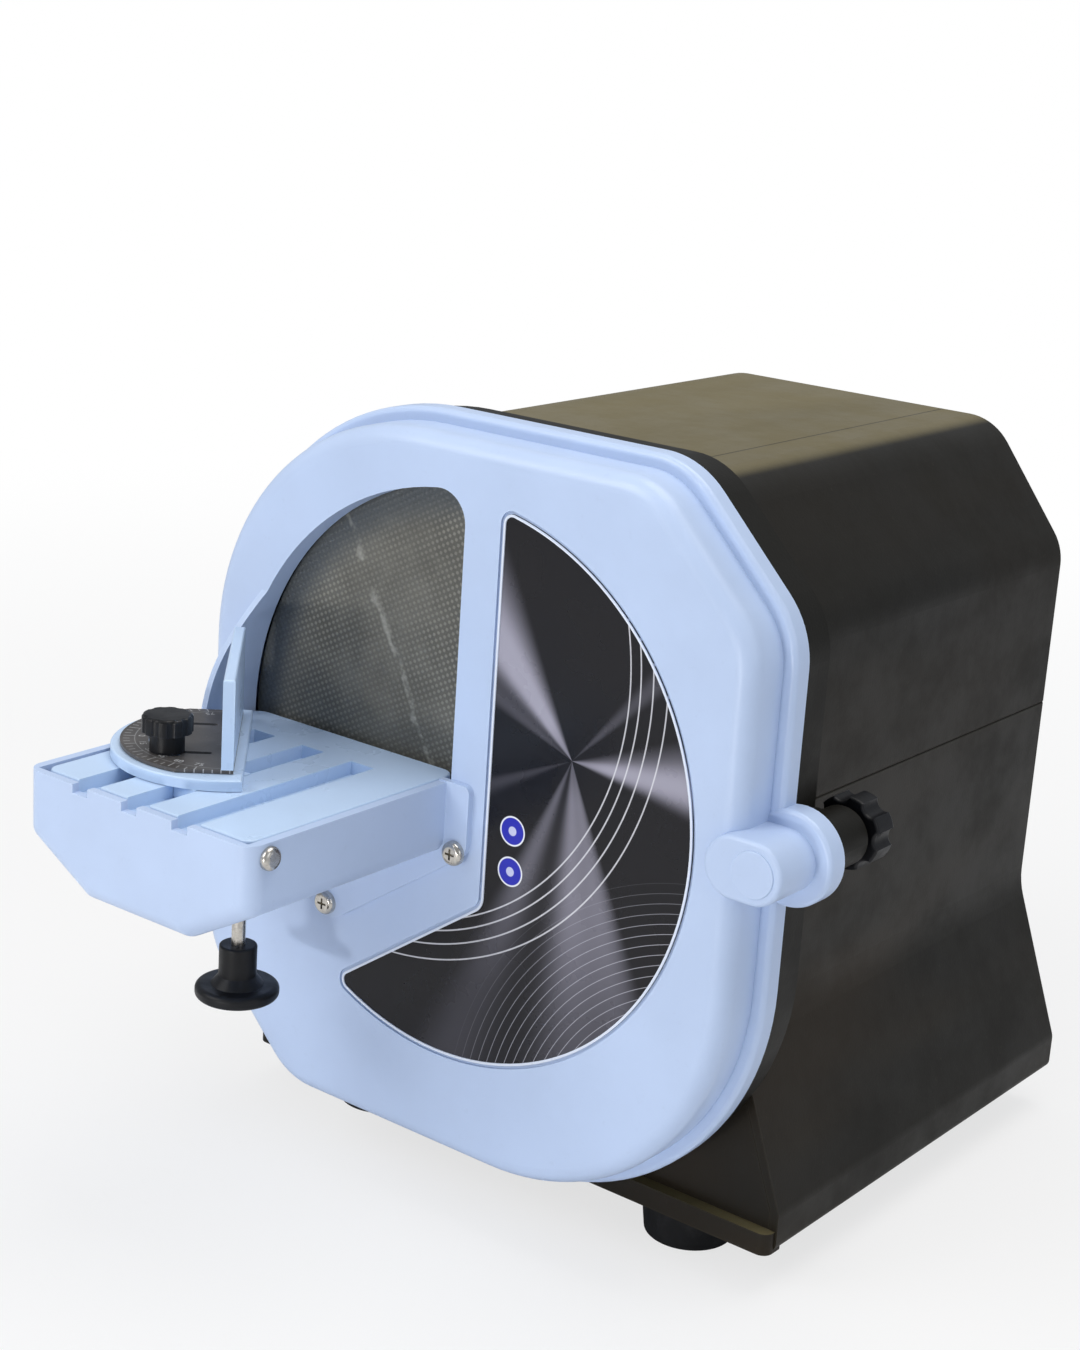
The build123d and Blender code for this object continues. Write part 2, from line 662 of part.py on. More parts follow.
def table_plate():
    with BuildPart() as plate:
        block(PLATE_LEFT, PLATE_RIGHT, PLATE_FRONT, PLATE_REAR, PLATE_BOTTOM, PLATE_TOP)
        fillet(plate.edges().filter_by(Axis.Z).group_by(Axis.Y)[-1], radius=7)
        fillet(plate.edges().filter_by(Axis.Z).group_by(Axis.Y)[0], radius=5)
        fillet(plate.edges().group_by(Axis.Z)[-1], radius=1)
        block(PLATE_LEFT + 1, PLATE_RIGHT - 1, PLATE_FRONT + 1, PIVOT_Y + 5,
              PLATE_BOTTOM - PIVOT_BAR, PLATE_BOTTOM)
        for x in GROOVES:
            block(x - GROOVE_WIDTH / 2, x + GROOVE_WIDTH / 2, PLATE_FRONT, -GROOVE_WIDTH,
                  PLATE_TOP - GROOVE_DEPTH, PLATE_TOP, Mode.SUBTRACT)
        hole = PIVOT_R + RUN_GAP
        pin(hole, PIVOT_Y, PIVOT_Z, PLATE_RIGHT - 12, PLATE_RIGHT, Mode.SUBTRACT)
        pin(hole, PIVOT_Y, PIVOT_Z, PLATE_LEFT, PLATE_LEFT + 12, Mode.SUBTRACT)
    save(plate.part, "table_plate")


def tilt_pad():
    centre = PLATE_BOTTOM - TILT_PAD_GAP - TILT_PAD_R
    with BuildPart() as pad:
        with Locations((TILT_X, TILT_Y, centre)):
            Sphere(TILT_PAD_R)
        block(TILT_X - 8, TILT_X + 8, TILT_Y - 8, TILT_Y + 8, centre - 8, centre, Mode.SUBTRACT)
        post(TILT_PAD_R, TILT_X, TILT_Y, centre - 10, centre)
        post(TILT_R + RUN_GAP, TILT_X, TILT_Y, centre - 10, centre - 4, Mode.SUBTRACT)
    save(pad.part, "tilt_pad")


def tilt_screw():
    centre = PLATE_BOTTOM - TILT_PAD_GAP - TILT_PAD_R
    with BuildPart() as screw:
        post(TILT_R, TILT_X, TILT_Y, TILT_KNOB_TOP - 12, centre - 4 - TILT_PAD_GAP)
    save(screw.part, "tilt_screw")


def tilt_knob():
    low = TILT_KNOB_TOP - 24
    rim = 6.0
    with BuildPart() as knob:
        post(TILT_KNOB_R, TILT_X, TILT_Y, low, low + rim)
        fillet(knob.edges().filter_by(GeomType.CIRCLE), radius=2.4)
        with Locations((TILT_X, TILT_Y, low + rim + 1.5)):
            Cone(TILT_HUB_R + 4, TILT_HUB_R, 5)
        post(TILT_HUB_R, TILT_X, TILT_Y, low + rim + 2, TILT_KNOB_TOP)
        fillet(knob.edges().group_by(Axis.Z)[-1], radius=1)
        post(TILT_R, TILT_X, TILT_Y, TILT_KNOB_TOP - 12, TILT_KNOB_TOP, Mode.SUBTRACT)
    save(knob.part, "tilt_knob")


# Angle guide, drawn along its straight edge and turned into place

def guide_plane(z):
    """Plane at height z with x along the straight edge and y towards the fence."""
    along = math.radians(GUIDE_ANGLE)
    return Plane(origin=(GUIDE_X, GUIDE_Y, z), x_dir=(-math.cos(along), -math.sin(along), 0),
                 z_dir=(0, 0, 1))


def clamp_in_guide():
    """Clamp stud seen from the fence pivot: distance and angle in the guide plane."""
    local = guide_plane(0).to_local_coords(Vector(CLAMP_X, CLAMP_Y, 0))
    local = local - Vector(0, FENCE_THICK / 2, 0)
    return math.hypot(local.X, local.Y), math.degrees(math.atan2(local.Y, local.X))


def guide_base():
    floor = PLATE_TOP + SLIDE_GAP
    groove = GROOVES[1]
    half_rib = GROOVE_WIDTH / 2 - SLIDE_GAP
    with BuildPart() as base:
        with BuildSketch(guide_plane(floor)):
            Circle(BASE_R)
            with Locations((0, FENCE_THICK + 4)):
                Rectangle(2 * BASE_R, BASE_R, align=(Align.CENTER, Align.MIN), mode=Mode.SUBTRACT)
        extrude(amount=BASE_TOP - floor)
        block(-2 * BASE_R - 40, -118, -24, 20, floor, BASE_TOP, Mode.SUBTRACT)
        fillet(base.edges().group_by(Axis.Z)[-1], radius=0.8)
        block(groove - half_rib, groove + half_rib, GUIDE_Y - 43, GUIDE_Y - 11,
              PLATE_TOP - GROOVE_DEPTH + SLIDE_GAP, floor)
        post(CLAMP_R, CLAMP_X, CLAMP_Y, floor, BASE_TOP, Mode.SUBTRACT)
        post(5.6, CLAMP_X, CLAMP_Y, floor, floor + 2.4, Mode.SUBTRACT)
        with Locations(guide_plane(floor)):
            with Locations((0, FENCE_THICK / 2)):
                Cylinder(PIVOT_R, 4 * BASE_TOP, mode=Mode.SUBTRACT)
    save(base.part, "guide_base")


def guide_stud():
    floor = PLATE_TOP + SLIDE_GAP
    with BuildPart() as stud:
        post(5.5, CLAMP_X, CLAMP_Y, floor + 0.1, floor + 2.4)
        post(CLAMP_R, CLAMP_X, CLAMP_Y, floor + 2.4, 16)
    save(stud.part, "guide_stud")


def guide_pivot():
    floor = PLATE_TOP + SLIDE_GAP
    with BuildPart() as pivot:
        with Locations(guide_plane(floor)):
            with Locations((0, FENCE_THICK / 2)):
                Cylinder(PIVOT_R, 14 - floor, align=(Align.CENTER, Align.CENTER, Align.MIN))
    save(pivot.part, "guide_pivot")


def protractor_plate():
    floor = BASE_TOP + SLIDE_GAP
    reach, rest = clamp_in_guide()
    with BuildPart() as plate:
        with BuildSketch(guide_plane(floor)) as face:
            Circle(PROTRACTOR_R)
            with Locations((0, FENCE_THICK)):
                Rectangle(2 * PROTRACTOR_HALF, 2 * PROTRACTOR_R, align=(Align.CENTER, Align.MAX),
                          mode=Mode.INTERSECT)
            with Locations((-19.5, -14), (19.5, -14)):
                SlotOverall(18, 3, rotation=90, mode=Mode.SUBTRACT)
            with Locations((0, FENCE_THICK / 2)):
                Circle(PIVOT_R + RUN_GAP, mode=Mode.SUBTRACT)
            with BuildLine(mode=Mode.PRIVATE) as track:
                CenterArc((0, FENCE_THICK / 2), reach, rest - 52, 60)
            SlotArc(track.edge(), 2 * CLAMP_R + 1, mode=Mode.SUBTRACT)
        extrude(amount=PROTRACTOR_THICK)
    save(plate.part, "protractor_plate")


def guide_fence():
    floor = BASE_TOP + SLIDE_GAP + PROTRACTOR_THICK
    with BuildPart() as fence:
        with BuildSketch(guide_plane(floor)):
            Rectangle(2 * PROTRACTOR_HALF, FENCE_THICK, align=(Align.CENTER, Align.MIN))
        extrude(amount=FENCE_TOP - floor)
        fillet(fence.edges().filter_by(GeomType.LINE).group_by(Axis.Z)[-1], radius=1)
        with Locations(guide_plane(floor)):
            with Locations((0, FENCE_THICK / 2)):
                Cylinder(PIVOT_R + RUN_GAP, 14 + SLIDE_GAP - floor, mode=Mode.SUBTRACT,
                         align=(Align.CENTER, Align.CENTER, Align.MIN))
            with Locations((-25, FENCE_THICK / 2), (25, FENCE_THICK / 2)):
                Cylinder(1.5, 8, mode=Mode.SUBTRACT,
                         align=(Align.CENTER, Align.CENTER, Align.MIN))
    save(fence.part, "guide_fence")


def guide_knob():
    low = BASE_TOP + SLIDE_GAP + PROTRACTOR_THICK + SLIDE_GAP
    with BuildPart() as knob:
        post(CLAMP_HUB_R, CLAMP_X, CLAMP_Y, low, 18)
        post(CLAMP_CAP_R, CLAMP_X, CLAMP_Y, 17, 24.5)
        with Locations((CLAMP_X, CLAMP_Y, 21)):
            with PolarLocations(CLAMP_CAP_R + 2.6, 10):
                Cylinder(3.2, 12, mode=Mode.SUBTRACT)
        fillet(knob.edges().group_by(Axis.Z)[-1], radius=1.5)
        post(CLAMP_R + RUN_GAP, CLAMP_X, CLAMP_Y, low, 17, Mode.SUBTRACT)
    save(knob.part, "guide_knob")


# Latch knob

def latch_stud():
    with BuildPart() as stud:
        rod(LATCH_STUD_R, LATCH_X, LATCH_Z, LATCH_STUD_TIP, LUG_BACK + 10)
        chamfer(stud.edges().group_by(Axis.Y)[0], length=1.2)
    save(stud.part, "latch_stud")


def latch_knob():
    front = LUG_BACK + SLIDE_GAP
    with BuildPart() as knob:
        with BuildSketch(layer(front + 3)):
            with Locations((LATCH_X, LATCH_Z)):
                Circle(LATCH_KNOB_R)
                with PolarLocations(LATCH_KNOB_R + 2, 7):
                    Circle(4.4, mode=Mode.SUBTRACT)
        extrude(amount=-(LATCH_KNOB_BACK - front - 3))
        fillet(knob.edges().group_by(Axis.Y)[0], radius=1.2)
        fillet(knob.edges().group_by(Axis.Y)[-1], radius=1.2)
        rod(8, LATCH_X, LATCH_Z, front, front + 4)
        rod(LATCH_STUD_R, LATCH_X, LATCH_Z, front, LUG_BACK + 10, Mode.SUBTRACT)
    save(knob.part, "latch_knob")


# Disc and drive

def diamond_disc():
    with BuildPart() as disc:
        rod(DISC_R, 0, 0, DISC_FRONT, DISC_FRONT + DIAMOND_THICK)
        rod(SHAFT_R / 2, 0, 0, DISC_FRONT, DISC_FRONT + DIAMOND_THICK, Mode.SUBTRACT)
        with Locations((0, DISC_FRONT + 1, 0)):
            Cone(7, 5, 2, rotation=(-90, 0, 0), mode=Mode.SUBTRACT)
    save(disc.part, "diamond_disc")


def disc_backing():
    front = DISC_FRONT + DIAMOND_THICK
    back = front + BACKING_THICK
    with BuildPart() as backing:
        rod(BACKING_R, 0, 0, front, back)
        rod(24, 0, 0, back, back + 14)
        chamfer(backing.edges().group_by(Axis.Y)[-1], length=2)
        rod(SHAFT_R, 0, 0, front + 2, back + 14, Mode.SUBTRACT)
        rod(SHAFT_R / 2, 0, 0, front, front + 2, Mode.SUBTRACT)
    save(backing.part, "disc_backing")


def disc_screw():
    with BuildPart() as screw:
        with Locations((0, DISC_FRONT + 1, 0)):
            Cone(7, 5, 2, rotation=(-90, 0, 0))
        rod(SHAFT_R / 2, 0, 0, DISC_FRONT + 2, DISC_FRONT + 24)
        with Locations(layer(DISC_FRONT)):
            Cylinder(2.6, 4, mode=Mode.SUBTRACT)
    save(screw.part, "disc_screw")


def motor_shaft():
    with BuildPart() as shaft:
        rod(SHAFT_R, 0, 0, DISC_FRONT + DIAMOND_THICK + 2, BELL_BACK + 26)
        rod(SHAFT_R / 2, 0, 0, DISC_FRONT, DISC_FRONT + 24, Mode.SUBTRACT)
        chamfer(shaft.edges().group_by(Axis.Y)[-1], length=1)
    save(shaft.part, "motor_shaft")


def motor_rotor():
    with BuildPart() as rotor:
        rod(ROTOR_R, 0, 0, MOTOR_FRONT + 15, MOTOR_BACK - 15)
        rod(ROTOR_R - 8, 0, 0, MOTOR_FRONT + 8, MOTOR_BACK - 8)
        rod(SHAFT_R, 0, 0, MOTOR_FRONT, MOTOR_BACK, Mode.SUBTRACT)
    save(rotor.part, "motor_rotor")


def cooling_fan():
    front = BELL_BACK + 4
    with BuildPart() as fan:
        rod(14, 0, 0, front, front + 16)
        rod(FAN_R, 0, 0, front, front + 3)
        with Locations(layer(front + 3)):
            with PolarLocations((FAN_R + 12) / 2, 9):
                Box(FAN_R - 12, 2.5, 13, align=(Align.CENTER, Align.CENTER, Align.MAX))
        rod(SHAFT_R, 0, 0, front, front + 16, Mode.SUBTRACT)
    save(fan.part, "cooling_fan")


def shaft_seal():
    with BuildPart() as seal:
        rod(SEAL_R, 0, 0, PAN_FLOOR - 2, PAN_BACK)
        rod(SHAFT_R + RUN_GAP, 0, 0, PAN_FLOOR - 2, PAN_BACK, Mode.SUBTRACT)
    save(seal.part, "shaft_seal")


def motor_frame():
    with BuildPart() as frame:
        rod(MOTOR_R, 0, 0, MOTOR_FRONT, MOTOR_BACK)
        middle = (MOTOR_FRONT + MOTOR_BACK) / 2
        with Locations(layer(middle)):
            with PolarLocations(MOTOR_R + 1.5, 24):
                Box(5, 2, MOTOR_BACK - MOTOR_FRONT - 10)
        rod(STATOR_R, 0, 0, MOTOR_FRONT, MOTOR_BACK, Mode.SUBTRACT)
    save(frame.part, "motor_frame")


def motor_stator():
    with BuildPart() as stator:
        rod(STATOR_R, 0, 0, MOTOR_FRONT + 15, MOTOR_BACK - 15)
        rod(STATOR_R - 6, 0, 0, MOTOR_FRONT + 3, MOTOR_BACK - 3)
        rod(ROTOR_R + 0.6, 0, 0, MOTOR_FRONT, MOTOR_BACK, Mode.SUBTRACT)
    save(stator.part, "motor_stator")


def motor_bell_front():
    with BuildPart() as bell:
        rod(MOTOR_BOLT_R + 6, 0, 0, BULKHEAD_BACK, BULKHEAD_BACK + 7)
        rod(MOTOR_R, 0, 0, BULKHEAD_BACK + 7, MOTOR_FRONT)
        fillet(bell.edges().group_by(Axis.Y)[0], radius=1.5)
        rod(BEARING_R, 0, 0, MOTOR_FRONT - BEARING_WIDTH, MOTOR_FRONT, Mode.SUBTRACT)
        rod(SHAFT_R + 2, 0, 0, BULKHEAD_BACK, MOTOR_FRONT, Mode.SUBTRACT)
        with Locations(layer(BULKHEAD_BACK)):
            with PolarLocations(MOTOR_BOLT_R, 4, start_angle=45):
                Cylinder(SHAFT_R / 2, 20, mode=Mode.SUBTRACT)
                with Locations((0, 0, -7)):
                    Cylinder(8, 40, align=(Align.CENTER, Align.CENTER, Align.MAX),
                             mode=Mode.SUBTRACT)
    save(bell.part, "motor_bell_front")


def motor_bell_rear():
    with BuildPart() as bell:
        rod(MOTOR_R, 0, 0, MOTOR_BACK, BELL_BACK)
        fillet(bell.edges().group_by(Axis.Y)[-1], radius=6)
        rod(BEARING_R, 0, 0, MOTOR_BACK, MOTOR_BACK + BEARING_WIDTH, Mode.SUBTRACT)
        rod(SHAFT_R + 2, 0, 0, MOTOR_BACK, BELL_BACK, Mode.SUBTRACT)
    save(bell.part, "motor_bell_rear")


def motor_bearings():
    with BuildPart() as bearings:
        for start in (MOTOR_FRONT - BEARING_WIDTH, MOTOR_BACK):
            rod(BEARING_R, 0, 0, start, start + BEARING_WIDTH)
            rod(SHAFT_R + RUN_GAP, 0, 0, start, start + BEARING_WIDTH, Mode.SUBTRACT)
    save(bearings.part, "motor_bearings")


def motor_bolts():
    with BuildPart() as bolts:
        with Locations(layer(PAN_BACK)):
            with PolarLocations(MOTOR_BOLT_R, 4, start_angle=45):
                Cylinder(SHAFT_R / 2, 12, align=(Align.CENTER, Align.CENTER, Align.MAX))
                with Locations((0, 0, -12)):
                    Cylinder(6.5, 4, align=(Align.CENTER, Align.CENTER, Align.MAX))
    save(bolts.part, "motor_bolts")


def capacitor():
    radius = 20.0
    with BuildPart() as can:
        rod(radius, 70, BASE_Z + SHELL_THICK + radius, 110, 195)
        rod(radius - 4, 70, BASE_Z + SHELL_THICK + radius, 195, 199)
    save(can.part, "capacitor")


# Water and power

def spray_pipe():
    with BuildPart() as pipe:
        with BuildLine():
            FilletPolyline(
                (SPRAY_X, 200, SPRAY_Z),
                (SPRAY_X, 8.5, SPRAY_Z),
                (SPRAY_X, 8.5, 84),
                radius=8,
            )
        with BuildSketch(Plane(origin=(SPRAY_X, 200, SPRAY_Z), z_dir=(0, -1, 0))):
            Circle(SPRAY_R)
        sweep()
    save(pipe.part, "spray_pipe")


def water_valve():
    with BuildPart() as valve:
        block(SPRAY_X - 9, SPRAY_X + 9, 200, 240, SPRAY_Z - 9, SPRAY_Z + 9)
        post(11, SPRAY_X, 220, SPRAY_Z - 38, SPRAY_Z - 9)
        fillet(valve.edges().group_by(Axis.Z)[0], radius=1.5)
    save(valve.part, "water_valve")


def water_inlet():
    with BuildPart() as inlet:
        rod(5, SPRAY_X, SPRAY_Z, 240, PANEL_BACK)
        rod(8, SPRAY_X, SPRAY_Z, PANEL_BACK, PANEL_BACK + 6)
        rod(5.5, SPRAY_X, SPRAY_Z, PANEL_BACK + 6, REAR_Y)
        for step in range(3):
            with Locations((SPRAY_X, REAR_Y - 4 - 5 * step, SPRAY_Z)):
                Cone(6.8, 5.5, 4, rotation=(-90, 0, 0))
        rod(3, SPRAY_X, SPRAY_Z, 244, REAR_Y, Mode.SUBTRACT)
    save(inlet.part, "water_inlet")


def drain_spout():
    with BuildPart() as spout:
        rod(DRAIN_R, DRAIN_X, DRAIN_Z, PAN_FLOOR, REAR_Y)
        rod(DRAIN_R + 4, DRAIN_X, DRAIN_Z, BULKHEAD_BACK, BULKHEAD_BACK + 4)
        rod(DRAIN_R + 4, DRAIN_X, DRAIN_Z, PANEL_BACK, PANEL_BACK + 3)
        rod(DRAIN_R + 1.5, DRAIN_X, DRAIN_Z, REAR_Y - 6, REAR_Y - 2)
        rod(DRAIN_BORE, DRAIN_X, DRAIN_Z, PAN_FLOOR, REAR_Y, Mode.SUBTRACT)
    save(spout.part, "drain_spout")


def power_inlet():
    with BuildPart() as inlet:
        block(POWER_X - 14, POWER_X + 14, PANEL_BACK - 20, PANEL_BACK, POWER_Z - 10, POWER_Z + 10)
        block(POWER_X - 25, POWER_X + 25, PANEL_BACK, PANEL_BACK + 3, POWER_Z - 13, POWER_Z + 13)
        fillet(inlet.edges().filter_by(Axis.Y).group_by(SortBy.LENGTH)[0], radius=2)
        block(POWER_X - 12, POWER_X + 12, PANEL_BACK - 14, PANEL_BACK + 3,
              POWER_Z - 8, POWER_Z + 8, Mode.SUBTRACT)
        for dx, dz in ((-7, -1.5), (0, 2.5), (7, -1.5)):
            block(POWER_X + dx - 1, POWER_X + dx + 1, PANEL_BACK - 14, PANEL_BACK - 4,
                  POWER_Z + dz - 2, POWER_Z + dz + 2)
    save(inlet.part, "power_inlet")


def switch_body():
    with BuildPart() as body:
        block(POWER_X - 11, POWER_X + 11, PANEL_BACK - 14, PANEL_BACK, SWITCH_Z - 14, SWITCH_Z + 14)
        block(POWER_X - 13, POWER_X + 13, PANEL_BACK, PANEL_BACK + 2, SWITCH_Z - 16, SWITCH_Z + 16)
        block(POWER_X - 9, POWER_X + 9, PANEL_BACK - 10, PANEL_BACK + 2,
              SWITCH_Z - 13, SWITCH_Z + 13, Mode.SUBTRACT)
    save(body.part, "switch_body")


def switch_rocker():
    with BuildPart() as rocker:
        with Locations((POWER_X, PANEL_BACK - 2, SWITCH_Z)):
            Box(17, 8, 22, rotation=(SWITCH_TILT, 0, 0))
        fillet(rocker.edges().filter_by(Axis.X), radius=1)
    save(rocker.part, "switch_rocker")


for make in (
    housing_hood, housing_tub, bulkhead, rear_panel, panel_screws, rubber_feet, foot_screws,
    chamber_pan, pan_screws, door_gasket, hinge_pins, front_door, label_panel, latch_cap,
    table_tray, flange_screws, pivot_screws, tilt_bush, table_plate, tilt_pad, tilt_screw,
    tilt_knob, guide_base, guide_stud, guide_pivot, protractor_plate, guide_fence, guide_knob,
    latch_stud, latch_knob, diamond_disc, disc_backing, disc_screw, motor_shaft, motor_rotor,
    cooling_fan, shaft_seal, motor_frame, motor_stator, motor_bell_front, motor_bell_rear,
    motor_bearings, motor_bolts, capacitor, spray_pipe, water_valve, water_inlet, drain_spout,
    power_inlet, switch_body, switch_rocker,
):
    make()
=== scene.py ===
import math

import bmesh
import bpy
from mathutils import Matrix, Vector


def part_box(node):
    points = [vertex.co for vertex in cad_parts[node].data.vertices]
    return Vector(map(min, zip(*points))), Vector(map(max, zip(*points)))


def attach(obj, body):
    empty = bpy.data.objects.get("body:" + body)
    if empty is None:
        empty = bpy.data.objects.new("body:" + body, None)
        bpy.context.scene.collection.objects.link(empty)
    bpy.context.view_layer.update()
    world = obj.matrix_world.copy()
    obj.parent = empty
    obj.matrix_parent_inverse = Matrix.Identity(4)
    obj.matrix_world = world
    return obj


bl_info = {
    "name": "Model Trimmer Finisher",
    "version": (1, 0, 0),
    "blender": (4, 5, 0),
    "location": "View3D > Sidebar > Trimmer",
    "description": "Gives a bench model trimmer its surfaces, its scales and a plain studio",
    "category": "Object",
}

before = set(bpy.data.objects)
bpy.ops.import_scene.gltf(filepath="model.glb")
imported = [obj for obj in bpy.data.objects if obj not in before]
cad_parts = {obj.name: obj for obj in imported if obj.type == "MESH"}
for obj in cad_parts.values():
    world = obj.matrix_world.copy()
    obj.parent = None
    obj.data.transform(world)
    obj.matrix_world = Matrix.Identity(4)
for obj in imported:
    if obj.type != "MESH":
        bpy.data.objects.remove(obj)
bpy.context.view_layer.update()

MM = 0.001
# The disc's axis at the cover's face, and the centre of the protractor, in the frame.
AXIS = Vector((-6.5, -103.5, 203.0)) * MM
GUIDE = Vector((-86.6, -46.6, 0.0)) * MM + AXIS
GUIDE_ANGLE = math.radians(132.0)

# Housing: painted brownish reflection on faces that look up, warm patches below, and where the seams
# run.
REFLECTION_DARK, REFLECTION_LIGHT = (0.120, 0.100, 0.048), (0.170, 0.143, 0.074)
WARM_TINT = (2.3, 1.7, 1.15)
WARM_FADE = (0.02, -0.16)
TOP_SEAM, SIDE_SEAM = 0.050, 0.0615
SEAM_EDGE = (0.0006, 0.0003)
FLANK = (0.135, 0.140)

# Rubber, and the metals: name, colour, roughness, stretch and scale of the lines, nodes.
RUBBER_DARK, RUBBER_DUSTY = (0.006, 0.006, 0.007), (0.020, 0.020, 0.021)
METALS = (
    ("steel_drawn", (0.52, 0.51, 0.49), 0.30, (1.0, 0.1, 1.0), 500.0,
     ("panel_screws", "foot_screws", "pan_screws", "hinge_pins", "motor_shaft", "motor_rotor",
      "motor_bearings", "motor_bolts", "spray_pipe", "water_valve", "disc_screw", "guide_stud",
      "latch_stud")),
    ("screw_steel", (0.60, 0.57, 0.52), 0.20, (1.0, 1.0, 1.0), 500.0,
     ("flange_screws", "pivot_screws", "tilt_screw")),
    ("brass_turned", (0.62, 0.43, 0.16), 0.28, (1.0, 1.0, 6.0), 500.0,
     ("tilt_bush", "guide_pivot", "water_inlet")),
    ("aluminium_cast", (0.50, 0.51, 0.52), 0.45, (1.0, 1.0, 1.0), 300.0,
     ("disc_backing", "motor_bell_front", "motor_bell_rear", "motor_frame", "tilt_pad")),
    ("copper_laminated", (0.40, 0.22, 0.12), 0.40, (0.2, 14.0, 0.2), 200.0, ("motor_stator",)),
)

# Disc: turn of the dot grid, where the rim's tint sets in, and the scratch.
GRID_TURN = math.radians(28.0)
RIM_FADE = (0.106, 0.122)
# The second colour here is a painted glint on the raised dots.
RIM_COLOUR, DOT_GLINT_COLOUR = (0.125, 0.140, 0.150), (0.36, 0.35, 0.30)
SCRATCH_PLACE, SCRATCH_COLOUR = -0.010, (0.42, 0.42, 0.38)

# Label: centres in millimetres right of and above the disc's axis, radii in metres.
FAN_CENTRE, FAN_COLOUR = (62.0, 26.0), (0.36, 0.35, 0.43)
FAN_RAYS = ((3.0, 0.7, 1.0), (5.0, 2.1, 0.8), (9.0, 0.4, 0.45), (16.0, 1.3, 0.25))
RINGS_CENTRE, RINGS_PITCH, RINGS_COLOUR = (150.0, -150.0), 0.0042, (0.60, 0.60, 0.68)
ARCS_CENTRE, ARCS_COLOUR = (-40.0, 60.0), (0.75, 0.75, 0.80)
ARCS_RADII = (0.128, 0.133, 0.139, 0.146)
SPOT_CENTRES = ((34.0, -30.0), (34.0, -12.0))
SPOT_RINGS = (
    (0.0067, 0.0064, (0.80, 0.82, 0.88)),
    (0.0060, 0.0057, (0.02, 0.025, 0.42)),
    (0.0022, 0.0019, (0.55, 0.58, 0.80)),
)
MERGE_REACH, FRONT_BAND = 0.000002, 0.00005
# The bead is real; its pale colour is a painted highlight along the label's edge.
BORDER_HEIGHT, BORDER_HIGHLIGHT_COLOUR = 0.0005, (0.72, 0.78, 0.92)

# Protractor: degrees between marks with the radius where they start, and the figures.
MARKS = ((5.0, 0.0408), (15.0, 0.0388))
MARK_EDGE = 0.0002
MARK_COLOUR, LINE_COLOUR = (0.42, 0.42, 0.42), (0.35, 0.35, 0.35)
INK_DARK, INK_LIGHT = (0.36, 0.36, 0.36), (0.48, 0.48, 0.48)
FIGURE_COUNT, FIGURE_STEP = 11, 15
FIGURE_INSET, FIGURE_DEPTH, FIGURE_LIFT = 0.0078, 0.00004, 0.00005

# Studio: the floor, the world's light on surfaces and behind them, lamps and camera.
FLOOR_HALF = 40.0
PAPER_DARK, PAPER_LIGHT = (0.78, 0.78, 0.79), (0.82, 0.82, 0.83)
SHADOW_REACH = (0.25, 1.6)
WORLD_DIM = ((0.90, 0.94, 1.0), 0.42)
WORLD_WHITE = ((1.0, 1.0, 1.0), 1.0)
LAMP_AIM = Vector((0.0, 0.1, -0.03))
LAMPS = (
    ("key_lamp", (-0.9, -1.7, 1.5), (0.0, 0.0, 0.0), 1.3, 21.0, (1.0, 0.99, 0.97)),
    ("top_lamp", (0.3, 0.2, 1.9), (0.0, 0.0, 0.0), 1.4, 17.0, (1.0, 0.97, 0.92)),
    ("side_lamp", (2.0, -0.4, 0.9), (0.0, 0.0, 0.0), 1.2, 5.0, (0.90, 0.95, 1.0)),
    ("front_lamp", (0.06, -1.45, 0.03), (-0.06, 0.0, -0.06), 0.14, 4.5, (1.0, 0.98, 0.95)),
)
CAMERA_TURN = (37.13, 16.48, 3.75)
CAMERA_PLACE = Vector((0.6093, -0.7476, 0.3355))
LENS, FILM_WIDTH, FAR_CLIP = 80.53, 36.0, 50.0


class TrimmerColours(bpy.types.PropertyGroup):
    """Colours of the machine's surfaces."""

    cover: bpy.props.FloatVectorProperty(
        name="Cover", description="Moulded cover, tray and latch", subtype="COLOR",
        size=3, min=0.0, max=1.0, default=(0.505, 0.62, 0.845))
    table: bpy.props.FloatVectorProperty(
        name="Table", description="Table plate, guide base and fence", subtype="COLOR",
        size=3, min=0.0, max=1.0, default=(0.54, 0.69, 0.91))
    housing: bpy.props.FloatVectorProperty(
        name="Housing", description="Dark shells of the motor housing", subtype="COLOR",
        size=3, min=0.0, max=1.0, default=(0.0085, 0.0075, 0.0050))
    knob: bpy.props.FloatVectorProperty(
        name="Knobs", description="Black plastic knobs", subtype="COLOR",
        size=3, min=0.0, max=1.0, default=(0.0035, 0.0038, 0.0052))
    disc: bpy.props.FloatVectorProperty(
        name="Disc", description="Diamond grit on the disc", subtype="COLOR",
        size=3, min=0.0, max=1.0, default=(0.145, 0.142, 0.125))
    label: bpy.props.FloatVectorProperty(
        name="Label", description="Dark ground of the label", subtype="COLOR",
        size=3, min=0.0, max=1.0, default=(0.006, 0.0055, 0.008))
    scale: bpy.props.FloatVectorProperty(
        name="Protractor", description="Printed plate of the angle scale", subtype="COLOR",
        size=3, min=0.0, max=1.0, default=(0.085, 0.078, 0.075))


class TrimmerSizes(bpy.types.PropertyGroup):
    """Sizes of the surface patterns and the scale."""

    grit_pitch: bpy.props.FloatProperty(
        name="Grit pitch", description="Distance between dots on the disc", unit="LENGTH",
        default=0.0026, min=0.001, max=0.01)
    scale_radius: bpy.props.FloatProperty(
        name="Scale radius", description="Outer radius of the angle marks", unit="LENGTH",
        default=0.0438, min=0.02, max=0.06)
    border_width: bpy.props.FloatProperty(
        name="Border width", description="Width of the bead round the label", unit="LENGTH",
        default=0.0010, min=0.0003, max=0.004)
    figure_height: bpy.props.FloatProperty(
        name="Figure height", description="Height of the figures on the scale", unit="LENGTH",
        default=0.0042, min=0.001, max=0.01)


